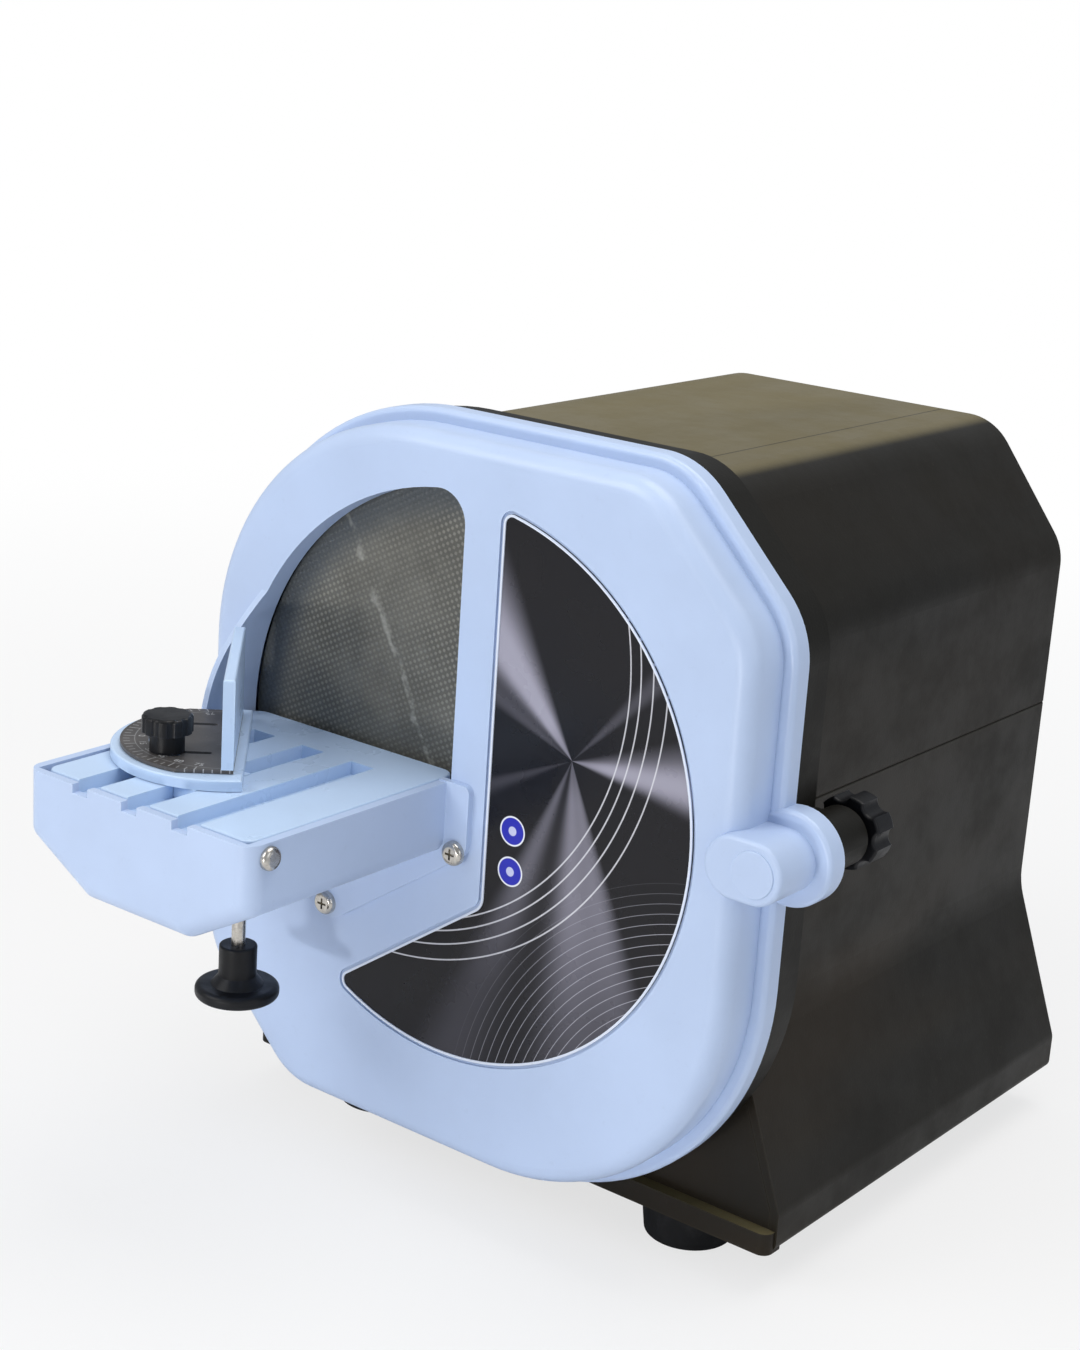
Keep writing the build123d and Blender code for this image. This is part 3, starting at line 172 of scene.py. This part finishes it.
class Tree:
    """Short way to write a shader tree."""

    def __init__(self, name):
        self.material = bpy.data.materials.new(name)
        self.material.use_nodes = True
        self.nodes = self.material.node_tree.nodes
        self.links = self.material.node_tree.links
        self.shader = self.nodes["Principled BSDF"]
        self.position = self.add("ShaderNodeTexCoord").outputs["Object"]

    def add(self, kind, **settings):
        node = self.nodes.new(kind)
        for key, value in settings.items():
            setattr(node, key, value)
        return node

    def put(self, socket, value):
        if isinstance(value, bpy.types.NodeSocket):
            self.links.new(value, socket)
        else:
            socket.default_value = value

    def math(self, operation, *values):
        node = self.add("ShaderNodeMath", operation=operation)
        for socket, value in zip(node.inputs, values):
            self.put(socket, value)
        return node.outputs[0]

    def times(self, first, second):
        return self.math("MULTIPLY", first, second)

    def plus(self, first, second):
        return self.math("ADD", first, second)

    def gap(self, value, place):
        """How far a value lies from a place, on either side."""
        return self.math("ABSOLUTE", self.math("SUBTRACT", value, place))

    def length(self, first, second):
        return self.math("SQRT", self.plus(self.times(first, first), self.times(second, second)))

    def axes(self, origin=(0.0, 0.0, 0.0)):
        """The three coordinates, counted from an origin."""
        shift = self.add("ShaderNodeVectorMath", operation="SUBTRACT")
        self.put(shift.inputs[0], self.position)
        shift.inputs[1].default_value = origin
        split = self.add("ShaderNodeSeparateXYZ")
        self.links.new(shift.outputs[0], split.inputs[0])
        return split.outputs

    def stretched(self, scale):
        node = self.add("ShaderNodeMapping")
        self.put(node.inputs["Vector"], self.position)
        node.inputs["Scale"].default_value = scale
        return node.outputs[0]

    def noise(self, scale, detail=3.0, roughness=0.5, vector=None):
        node = self.add("ShaderNodeTexNoise")
        self.put(node.inputs["Vector"], vector or self.position)
        node.inputs["Scale"].default_value = scale
        node.inputs["Detail"].default_value = detail
        node.inputs["Roughness"].default_value = roughness
        return node.outputs["Fac"]

    def span(self, value, low, high, start=0.0, end=1.0):
        node = self.add("ShaderNodeMapRange", interpolation_type="SMOOTHSTEP")
        for socket, number in zip(node.inputs, (value, low, high, start, end)):
            self.put(socket, number)
        return node.outputs[0]

    def inside(self, value, inner, outer):
        """One up to the inner limit, fading to nothing at the outer one."""
        return self.math("SUBTRACT", 1.0, self.span(value, inner, outer))

    def mix(self, factor, first, second):
        node = self.add("ShaderNodeMix", data_type="RGBA")
        self.put(node.inputs["Factor"], factor)
        self.put(node.inputs["A"], opaque(first))
        self.put(node.inputs["B"], opaque(second))
        return node.outputs["Result"]

    def worn(self, radius=0.0015):
        """Bright where an edge is exposed, from the bevelled normal."""
        bevel = self.add("ShaderNodeBevel", samples=4)
        bevel.inputs["Radius"].default_value = radius
        plain = self.add("ShaderNodeNewGeometry")
        dot = self.add("ShaderNodeVectorMath", operation="DOT_PRODUCT")
        self.links.new(bevel.outputs[0], dot.inputs[0])
        self.links.new(plain.outputs["Normal"], dot.inputs[1])
        return self.span(dot.outputs["Value"], 0.985, 0.90)

    def bump(self, height, distance, strength=1.0):
        node = self.add("ShaderNodeBump")
        node.inputs["Strength"].default_value = strength
        node.inputs["Distance"].default_value = distance
        self.put(node.inputs["Height"], height)
        self.put(self.shader.inputs["Normal"], node.outputs[0])

    def finish(self, colour, roughness, metallic=0.0, **inputs):
        self.put(self.shader.inputs["Base Color"], opaque(colour))
        self.put(self.shader.inputs["Roughness"], roughness)
        self.put(self.shader.inputs["Metallic"], metallic)
        for key, value in inputs.items():
            self.put(self.shader.inputs[key.replace("_", " ")], value)
        return self.material


def opaque(colour):
    """A colour of three numbers gets its fourth; a socket passes through."""
    if isinstance(colour, bpy.types.NodeSocket):
        return colour
    return (*colour[:3], 1.0)


def shade(colour, factor):
    """The same colour, darker or lighter by a factor."""
    return tuple(min(1.0, c * factor) for c in colour)


def coat(material, *nodes):
    """Puts a finish on the material slot of each CAD node."""
    for name in nodes:
        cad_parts[name].material_slots[0].material = material


def moulded(name, colour, roughness, grain=1400.0, depth=0.00006, gloss=0.45):
    """Injection moulded plastic: fine grain, soft blotches, dark specks and rubbed edges."""
    tree = Tree(name)
    cloud = tree.noise(9.0, 4.0, 0.6)
    speck = tree.noise(180.0, 3.0, 0.7)
    base = tree.mix(tree.span(cloud, 0.35, 0.68), shade(colour, 0.955), shade(colour, 1.03))
    base = tree.mix(tree.span(speck, 0.62, 0.74, 0.0, 0.10), base, shade(colour, 0.72))
    base = tree.mix(tree.times(tree.worn(), 0.22), base, shade(colour, 1.25))
    rough = tree.span(tree.noise(32.0, 4.0, 0.6), 0.3, 0.75, roughness - 0.05, roughness + 0.09)
    tree.bump(tree.noise(grain, 2.0, 0.5), depth, 0.5)
    return tree.finish(base, rough, Specular_IOR_Level=gloss)


def housing_material(colour):
    """Dark shell plastic: a painted olive reflection where it faces up, warm patches low down, two
    fine seams.
    """
    tree = Tree("housing_plastic")
    x, _, z = tree.axes(AXIS)
    streak = tree.noise(7.0, 5.0, 0.6, tree.stretched((1.0, 0.22, 2.4)))
    patch = tree.noise(5.0, 2.0, 0.5, tree.stretched((1.0, 0.6, 2.2)))
    base = tree.mix(tree.span(streak, 0.35, 0.7), shade(colour, 0.8), shade(colour, 1.3))
    warm = tree.times(tree.span(patch, 0.42, 0.62), tree.span(z, *WARM_FADE, 0.25, 1.0))
    base = tree.mix(warm, base, tuple(c * k for c, k in zip(colour, WARM_TINT)))
    facing = tree.add("ShaderNodeSeparateXYZ")
    tree.links.new(tree.add("ShaderNodeNewGeometry").outputs["Normal"], facing.inputs[0])
    # Faces that look up get a painted olive-brown reflection, streaked; the same mask keeps the top
    # seam on them.
    up_facing_reflection = tree.span(facing.outputs["Z"], 0.90, 0.995)
    base = tree.mix(up_facing_reflection, base, tree.mix(tree.span(streak, 0.3, 0.75), REFLECTION_DARK, REFLECTION_LIGHT))
    speck = tree.noise(260.0, 2.0, 0.6)
    base = tree.mix(tree.span(speck, 0.66, 0.78, 0.0, 0.25), base, shade(colour, 4.0))
    base = tree.mix(tree.times(tree.worn(), 0.25), base, shade(colour, 7.0))
    top_seam = tree.times(tree.span(tree.gap(x, TOP_SEAM), *SEAM_EDGE), up_facing_reflection)
    side_seam = tree.times(tree.span(tree.gap(z, SIDE_SEAM), *SEAM_EDGE), tree.span(x, *FLANK))
    seam = tree.plus(top_seam, side_seam)
    base = tree.mix(tree.times(seam, 0.7), base, shade(colour, 0.3))
    rough = tree.span(tree.noise(24.0, 5.0, 0.65), 0.3, 0.75, 0.36, 0.54)
    grain = tree.noise(900.0, 2.0, 0.5)
    tree.bump(tree.math("SUBTRACT", grain, tree.times(seam, 3.0)), 0.00008, 0.5)
    return tree.finish(base, rough, Specular_IOR_Level=0.22)


def knob_material(colour):
    """Phenolic black with a slight orange peel and rubbed rims."""
    tree = Tree("knob_black")
    cloud = tree.span(tree.noise(60.0, 4.0, 0.6), 0.4, 0.7)
    base = tree.mix(cloud, shade(colour, 0.8), shade(colour, 1.7))
    base = tree.mix(tree.times(tree.worn(0.001), 0.5), base, shade(colour, 5.0))
    tree.bump(tree.noise(700.0, 3.0, 0.5), 0.00008, 0.6)
    rough = tree.span(tree.noise(90.0, 3.0, 0.6), 0.3, 0.7, 0.32, 0.5)
    return tree.finish(base, rough, Specular_IOR_Level=0.30)


def rubber_material():
    """Matt black rubber with pale dust."""
    tree = Tree("rubber_black")
    dust = tree.span(tree.noise(45.0, 5.0, 0.7), 0.4, 0.7)
    tree.bump(tree.noise(1200.0, 3.0, 0.6), 0.0001, 0.6)
    return tree.finish(tree.mix(dust, RUBBER_DARK, RUBBER_DUSTY), 0.72, Specular_IOR_Level=0.3)


def metal_material(name, colour, roughness, stretch=(1.0, 1.0, 1.0), scale=500.0):
    """Machined metal: drawn lines in one direction and dull spots."""
    tree = Tree(name)
    line = tree.noise(scale, 4.0, 0.6, tree.stretched(stretch))
    spot = tree.noise(70.0, 4.0, 0.6)
    base = tree.mix(tree.span(line, 0.3, 0.7), shade(colour, 0.82), shade(colour, 1.08))
    base = tree.mix(tree.span(spot, 0.55, 0.75, 0.0, 0.35), base, shade(colour, 0.55))
    rough = tree.span(spot, 0.3, 0.75, roughness - 0.06, roughness + 0.16)
    tree.bump(line, 0.00004, 0.5)
    return tree.finish(base, rough, 1.0)


def disc_material(colour, pitch):
    """Diamond grit in a grid of raised dots with a painted glint that fades towards the rim, bluer
    towards the rim, with one pale scratch.
    """
    tree = Tree("diamond_grit")
    x, _, z = tree.axes(AXIS)
    radius = tree.length(x, z)
    cosine, sine = math.cos(GRID_TURN), math.sin(GRID_TURN)
    along = tree.plus(tree.times(x, cosine), tree.times(z, sine))
    across = tree.math("SUBTRACT", tree.times(z, cosine), tree.times(x, sine))
    wave_a = tree.math("COSINE", tree.times(along, 2 * math.pi / pitch))
    wave_b = tree.math("COSINE", tree.times(across, 2 * math.pi / pitch))
    dots = tree.span(tree.plus(wave_a, wave_b), -0.2, 1.7)
    rim = tree.span(radius, *RIM_FADE)
    dirt = tree.noise(26.0, 5.0, 0.65)
    fine = tree.noise(1500.0, 3.0, 0.7)
    base = tree.mix(tree.span(dirt, 0.3, 0.7), shade(colour, 0.78), shade(colour, 1.22))
    base = tree.mix(tree.times(rim, 0.75), base, RIM_COLOUR)
    base = tree.mix(tree.span(fine, 0.45, 0.75, 0.0, 0.35), base, shade(colour, 0.35))
    # Painted glint on the raised dots, patchy and fading towards the rim.
    shine = tree.times(dots, tree.span(rim, 0.0, 1.0, 0.75, 0.12))
    shine = tree.times(shine, tree.span(tree.noise(14.0, 4.0, 0.6), 0.30, 0.62, 0.15, 0.75))
    base = tree.mix(shine, base, DOT_GLINT_COLOUR)
    wander = tree.plus(along, tree.times(tree.noise(30.0, 3.0, 0.6), 0.02))
    scratch = tree.inside(tree.gap(wander, SCRATCH_PLACE), 0.0006, 0.0022)
    scratch = tree.times(scratch, tree.span(tree.noise(60.0, 4.0, 0.7), 0.45, 0.6))
    base = tree.mix(tree.times(scratch, 0.5), base, SCRATCH_COLOUR)
    tree.bump(tree.plus(tree.times(dots, 0.6), tree.times(fine, 0.6)), 0.0003, 0.7)
    return tree.finish(base, tree.span(dots, 0.0, 1.0, 0.62, 0.42), 0.35, Specular_IOR_Level=0.4)


def label_material(colour):
    """Printed film: a fan of light, fine arcs and two ringed spots on a dark ground."""
    tree = Tree("label_print")

    def reach(centre):
        x, _, z = tree.axes(AXIS + Vector((centre[0], 0.0, centre[1])) * MM)
        return x, z, tree.length(x, z)

    x, z, radius = reach(FAN_CENTRE)
    angle = tree.math("ARCTAN2", z, x)
    fan = 0.0
    for count, turn, weight in FAN_RAYS:
        ray = tree.math("SINE", tree.plus(tree.times(angle, count), turn))
        fan = tree.plus(tree.times(ray, weight), fan)
    fan = tree.times(tree.span(fan, 0.1, 2.1), tree.span(radius, 0.0, 0.02, 0.55, 1.0))
    fan = tree.times(fan, tree.span(radius, 0.13, 0.05, 0.35, 1.0))
    base = tree.mix(fan, shade(colour, 0.9), FAN_COLOUR)
    far = reach(RINGS_CENTRE)[2]
    lines = tree.math("ABSOLUTE", tree.math("SINE", tree.times(far, math.pi / RINGS_PITCH)))
    lines = tree.inside(lines, 0.06, 0.16)
    band = tree.times(tree.span(far, 0.088, 0.092), tree.span(far, 0.148, 0.118))
    base = tree.mix(tree.times(tree.times(lines, band), 0.5), base, RINGS_COLOUR)
    sweep = reach(ARCS_CENTRE)[2]
    for place in ARCS_RADII:
        arc = tree.inside(tree.gap(sweep, place), 0.00018, 0.00045)
        base = tree.mix(tree.times(arc, 0.75), base, ARCS_COLOUR)
    for centre in SPOT_CENTRES:
        spot = reach(centre)[2]
        for outer, inner, paint in SPOT_RINGS:
            base = tree.mix(tree.span(spot, outer, inner), base, paint)
    tree.bump(tree.noise(40.0, 2.0, 0.5), 0.0002, 0.25)
    rough = tree.span(tree.noise(30.0, 4.0, 0.6), 0.3, 0.7, 0.22, 0.36)
    return tree.finish(base, rough, Specular_IOR_Level=0.30)


def scale_material(colour, outer):
    """Dark printed plate with angle marks along its arc."""
    tree = Tree("angle_scale")
    x, y, _ = tree.axes(GUIDE)
    radius = tree.length(x, y)
    angle = tree.math("SUBTRACT", tree.math("ARCTAN2", y, x), GUIDE_ANGLE)
    blotch = tree.span(tree.noise(30.0, 4.0, 0.6), 0.35, 0.7)
    speck = tree.span(tree.noise(220.0, 3.0, 0.7), 0.60, 0.72, 0.0, 0.4)
    base = tree.mix(blotch, shade(colour, 0.8), shade(colour, 1.35))
    base = tree.mix(speck, base, shade(colour, 2.2))
    for step, inner in MARKS:
        width = math.radians(step)
        phase = tree.math("SINE", tree.times(angle, math.pi / width))
        offset = tree.times(tree.times(tree.math("ABSOLUTE", phase), width / math.pi), radius)
        mark = tree.span(offset, 0.00028, 0.00016)
        ring = tree.times(tree.span(radius, inner, inner + MARK_EDGE),
                          tree.span(radius, outer, outer - MARK_EDGE))
        base = tree.mix(tree.times(mark, ring), base, MARK_COLOUR)
    line = tree.inside(tree.gap(radius, MARKS[-1][1]), 0.00012, 0.0003)
    base = tree.mix(tree.times(line, 0.6), base, LINE_COLOUR)
    tree.bump(tree.noise(500.0, 3.0, 0.6), 0.00006, 0.5)
    return tree.finish(base, 0.42, 0.2)


class TRIMMER_OT_cover(bpy.types.Operator):
    """Pale moulded plastic on the cover, the tray and the latch."""

    bl_idname = "trimmer.cover"
    bl_label = "Cover plastic"

    def execute(self, context):
        colours = context.scene.trimmer_colours
        coat(moulded("cover_plastic", colours.cover, 0.34), "front_door", "table_tray", "latch_cap")
        coat(moulded("table_plastic", colours.table, 0.30, 1100.0),
             "table_plate", "guide_base", "guide_fence")
        return {"FINISHED"}


class TRIMMER_OT_housing(bpy.types.Operator):
    """Dark plastic on the housing shells, the pan and the rear fittings."""

    bl_idname = "trimmer.housing"
    bl_label = "Housing plastic"

    def execute(self, context):
        colours = context.scene.trimmer_colours
        coat(housing_material(colours.housing), "housing_hood", "housing_tub", "bulkhead")
        dark = moulded("dark_plastic", shade(colours.housing, 0.8), 0.45, 800.0, 0.0001, 0.2)
        coat(dark, "chamber_pan", "rear_panel", "power_inlet", "switch_body", "cooling_fan",
             "capacitor", "drain_spout")
        return {"FINISHED"}


class TRIMMER_OT_knobs(bpy.types.Operator):
    """Black plastic on the knobs and rubber on the feet and seals."""

    bl_idname = "trimmer.knobs"
    bl_label = "Knobs and rubber"

    def execute(self, context):
        colours = context.scene.trimmer_colours
        coat(knob_material(colours.knob), "tilt_knob", "guide_knob", "latch_knob", "switch_rocker")
        coat(rubber_material(), "rubber_feet", "door_gasket", "shaft_seal")
        return {"FINISHED"}


class TRIMMER_OT_metal(bpy.types.Operator):
    """Steel, brass, aluminium and copper parts."""

    bl_idname = "trimmer.metal"
    bl_label = "Metal parts"

    def execute(self, context):
        for name, colour, roughness, stretch, scale, nodes in METALS:
            coat(metal_material(name, colour, roughness, stretch, scale), *nodes)
        return {"FINISHED"}


class TRIMMER_OT_disc(bpy.types.Operator):
    """Grit pattern on the disc and the print on the label."""

    bl_idname = "trimmer.disc"
    bl_label = "Disc and label"

    def execute(self, context):
        scene = context.scene
        coat(disc_material(scene.trimmer_colours.disc, scene.trimmer_sizes.grit_pitch), "diamond_disc")
        coat(label_material(scene.trimmer_colours.label), "label_panel")
        return {"FINISHED"}


class TRIMMER_OT_border(bpy.types.Operator):
    """Raised bead round the label, inset from the label's own outline, painted pale as the highlight
    along its edge.
    """

    bl_idname = "trimmer.border"
    bl_label = "Label border"

    def execute(self, context):
        form = bmesh.new()
        form.from_mesh(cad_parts["label_panel"].data)
        bmesh.ops.remove_doubles(form, verts=form.verts, dist=MERGE_REACH)
        front = min(v.co.y for v in form.verts) + FRONT_BAND
        rest = [f for f in form.faces if any(v.co.y > front for v in f.verts)]
        bmesh.ops.delete(form, geom=rest, context="FACES")
        bmesh.ops.dissolve_faces(form, faces=form.faces[:])
        inner = list(form.faces)
        width = context.scene.trimmer_sizes.border_width
        bmesh.ops.inset_region(
            form, faces=inner, thickness=width, use_boundary=True, use_even_offset=True)
        bmesh.ops.delete(form, geom=inner, context="FACES")
        raised = bmesh.ops.extrude_face_region(form, geom=form.faces[:])["geom"]
        corners = [part for part in raised if isinstance(part, bmesh.types.BMVert)]
        bmesh.ops.translate(form, verts=corners, vec=(0.0, -BORDER_HEIGHT, 0.0))
        bmesh.ops.recalc_face_normals(form, faces=form.faces)
        mesh = bpy.data.meshes.new("label_border")
        form.to_mesh(mesh)
        form.free()
        # The bead's plastic is painted pale as the highlight along the label's edge.
        mesh.materials.append(moulded("border_highlight_plastic", BORDER_HIGHLIGHT_COLOUR, 0.3))
        bead = bpy.data.objects.new("label_border", mesh)
        context.scene.collection.objects.link(bead)
        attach(bead, "door")
        return {"FINISHED"}


class TRIMMER_OT_scale(bpy.types.Operator):
    """Angle marks and plain figures on the protractor."""

    bl_idname = "trimmer.scale"
    bl_label = "Angle scale"

    def execute(self, context):
        scene = context.scene
        sizes = scene.trimmer_sizes
        coat(scale_material(scene.trimmer_colours.scale, sizes.scale_radius), "protractor_plate")
        ink = Tree("scale_ink")
        base = ink.mix(ink.span(ink.noise(400.0), 0.4, 0.7), INK_DARK, INK_LIGHT)
        white = ink.finish(base, 0.5)
        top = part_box("protractor_plate")[1][2]
        for step in range(1, FIGURE_COUNT + 1):
            angle = GUIDE_ANGLE + math.radians(FIGURE_STEP * step)
            words = bpy.data.curves.new(f"figure_{step:02d}", "FONT")
            words.body = str(abs(90 - FIGURE_STEP * step))
            words.size = sizes.figure_height
            words.align_x = "CENTER"
            words.align_y = "CENTER"
            words.extrude = FIGURE_DEPTH
            holder = bpy.data.objects.new(f"figure_{step:02d}", words)
            scene.collection.objects.link(holder)
            mesh = bpy.data.meshes.new_from_object(holder)
            bpy.data.objects.remove(holder)
            reach = sizes.scale_radius - FIGURE_INSET
            spot = GUIDE + Vector((math.cos(angle), math.sin(angle), 0.0)) * reach
            spot.z = top + FIGURE_LIFT
            mesh.transform(Matrix.Translation(spot) @ Matrix.Rotation(angle + math.pi / 2, 4, "Z"))
            mesh.materials.clear()
            mesh.materials.append(white)
            figure = bpy.data.objects.new(f"scale_figure_{step:02d}", mesh)
            scene.collection.objects.link(figure)
            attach(figure, "fence")
        return {"FINISHED"}


class TRIMMER_OT_studio(bpy.types.Operator):
    """Pale floor, soft lamps and the camera."""

    bl_idname = "trimmer.studio"
    bl_label = "Studio"

    def execute(self, context):
        scene = context.scene
        scene.view_settings.view_transform = "Standard"
        form = bmesh.new()
        bmesh.ops.create_grid(form, x_segments=1, y_segments=1, size=FLOOR_HALF)
        sheet = bpy.data.meshes.new("studio_floor")
        form.to_mesh(sheet)
        form.free()
        floor = bpy.data.objects.new("studio_floor", sheet)
        scene.collection.objects.link(floor)
        sheet.materials.append(floor_material())
        scene.world = studio_world()
        aim = AXIS + LAMP_AIM
        for name, place, shift, size, power, colour in LAMPS:
            lamp(scene, name, place, aim + Vector(shift), size, power, colour)
        camera(scene)
        return {"FINISHED"}


def studio_world():
    """Cool dim light on the surfaces, plain white behind them."""
    world = bpy.data.worlds.new("studio_world")
    world.use_nodes = True
    nodes, links = world.node_tree.nodes, world.node_tree.links
    nodes.clear()
    rays = nodes.new("ShaderNodeLightPath")
    seen = nodes.new("ShaderNodeMath")
    seen.operation = "MAXIMUM"
    links.new(rays.outputs["Is Camera Ray"], seen.inputs[0])
    links.new(rays.outputs["Is Transmission Ray"], seen.inputs[1])
    blend = nodes.new("ShaderNodeMixShader")
    links.new(seen.outputs[0], blend.inputs[0])
    for slot, (colour, strength) in enumerate((WORLD_DIM, WORLD_WHITE), 1):
        light = nodes.new("ShaderNodeBackground")
        light.inputs["Color"].default_value = opaque(colour)
        light.inputs["Strength"].default_value = strength
        links.new(light.outputs[0], blend.inputs[slot])
    out = nodes.new("ShaderNodeOutputWorld")
    links.new(blend.outputs[0], out.inputs[0])
    return world


def floor_material():
    """Paper floor with a soft shadow near the feet, white to the camera farther off."""
    tree = Tree("studio_paper")
    tree.finish(tree.mix(tree.noise(3.0), PAPER_DARK, PAPER_LIGHT), 0.8)
    x, y, _ = tree.axes()
    rays = tree.add("ShaderNodeLightPath")
    glow = tree.add("ShaderNodeEmission")
    glow.inputs["Strength"].default_value = 1.0
    blend = tree.add("ShaderNodeMixShader")
    seen = tree.math("MAXIMUM", rays.outputs["Is Camera Ray"], rays.outputs["Is Transmission Ray"])
    amount = tree.times(seen, tree.span(tree.length(x, y), *SHADOW_REACH, 0.72, 1.0))
    tree.links.new(amount, blend.inputs[0])
    tree.links.new(tree.shader.outputs[0], blend.inputs[1])
    tree.links.new(glow.outputs[0], blend.inputs[2])
    tree.links.new(blend.outputs[0], tree.nodes["Material Output"].inputs["Surface"])
    return tree.material


def lamp(scene, name, place, aim, size, power, colour):
    light = bpy.data.lights.new(name, "AREA")
    light.shape = "DISK"
    light.size = size
    light.energy = power
    light.color = colour
    holder = bpy.data.objects.new(name, light)
    holder.location = place
    holder.rotation_euler = (aim - Vector(place)).to_track_quat("-Z", "Y").to_euler()
    scene.collection.objects.link(holder)


def camera(scene):
    """Camera fitted to the photograph: bearing, height, roll and lens."""
    azimuth, elevation, roll = (math.radians(v) for v in CAMERA_TURN)
    back = Vector((math.sin(azimuth) * math.cos(elevation), -math.cos(azimuth) * math.cos(elevation),
                   math.sin(elevation)))
    level = (-back).cross(Vector((0.0, 0.0, 1.0))).normalized()
    upright = level.cross(-back)
    right = math.cos(roll) * level + math.sin(roll) * upright
    up = math.cos(roll) * upright - math.sin(roll) * level
    data = bpy.data.cameras.new("photo_camera")
    data.sensor_fit = "HORIZONTAL"
    data.sensor_width = FILM_WIDTH
    data.lens = LENS
    data.clip_end = FAR_CLIP
    holder = bpy.data.objects.new("photo_camera", data)
    turn = Matrix((right, up, back)).transposed()
    holder.matrix_world = Matrix.Translation(CAMERA_PLACE + AXIS) @ turn.to_4x4()
    scene.collection.objects.link(holder)
    scene.camera = holder


class TRIMMER_PT_panel(bpy.types.Panel):
    """Lists the finishes and their colours."""

    bl_label = "Trimmer"
    bl_idname = "TRIMMER_PT_panel"
    bl_space_type = "VIEW_3D"
    bl_region_type = "UI"
    bl_category = "Trimmer"

    def draw(self, context):
        for group in (context.scene.trimmer_colours, context.scene.trimmer_sizes):
            for key in group.__annotations__:
                self.layout.prop(group, key)
        for operator in OPERATORS:
            self.layout.operator(operator.bl_idname)


OPERATORS = (
    TRIMMER_OT_cover, TRIMMER_OT_housing, TRIMMER_OT_knobs, TRIMMER_OT_metal,
    TRIMMER_OT_disc, TRIMMER_OT_border, TRIMMER_OT_scale, TRIMMER_OT_studio,
)
CLASSES = (TrimmerColours, TrimmerSizes, *OPERATORS, TRIMMER_PT_panel)


def register():
    for cls in CLASSES:
        bpy.utils.register_class(cls)
    bpy.types.Scene.trimmer_colours = bpy.props.PointerProperty(type=TrimmerColours)
    bpy.types.Scene.trimmer_sizes = bpy.props.PointerProperty(type=TrimmerSizes)


def unregister():
    del bpy.types.Scene.trimmer_sizes
    del bpy.types.Scene.trimmer_colours
    for cls in reversed(CLASSES):
        bpy.utils.unregister_class(cls)


def main():
    register()
    bpy.ops.trimmer.cover()
    bpy.ops.trimmer.housing()
    bpy.ops.trimmer.knobs()
    bpy.ops.trimmer.metal()
    bpy.ops.trimmer.disc()
    bpy.ops.trimmer.border()
    bpy.ops.trimmer.scale()
    bpy.ops.trimmer.studio()


if __name__ == "__main__":
    main()
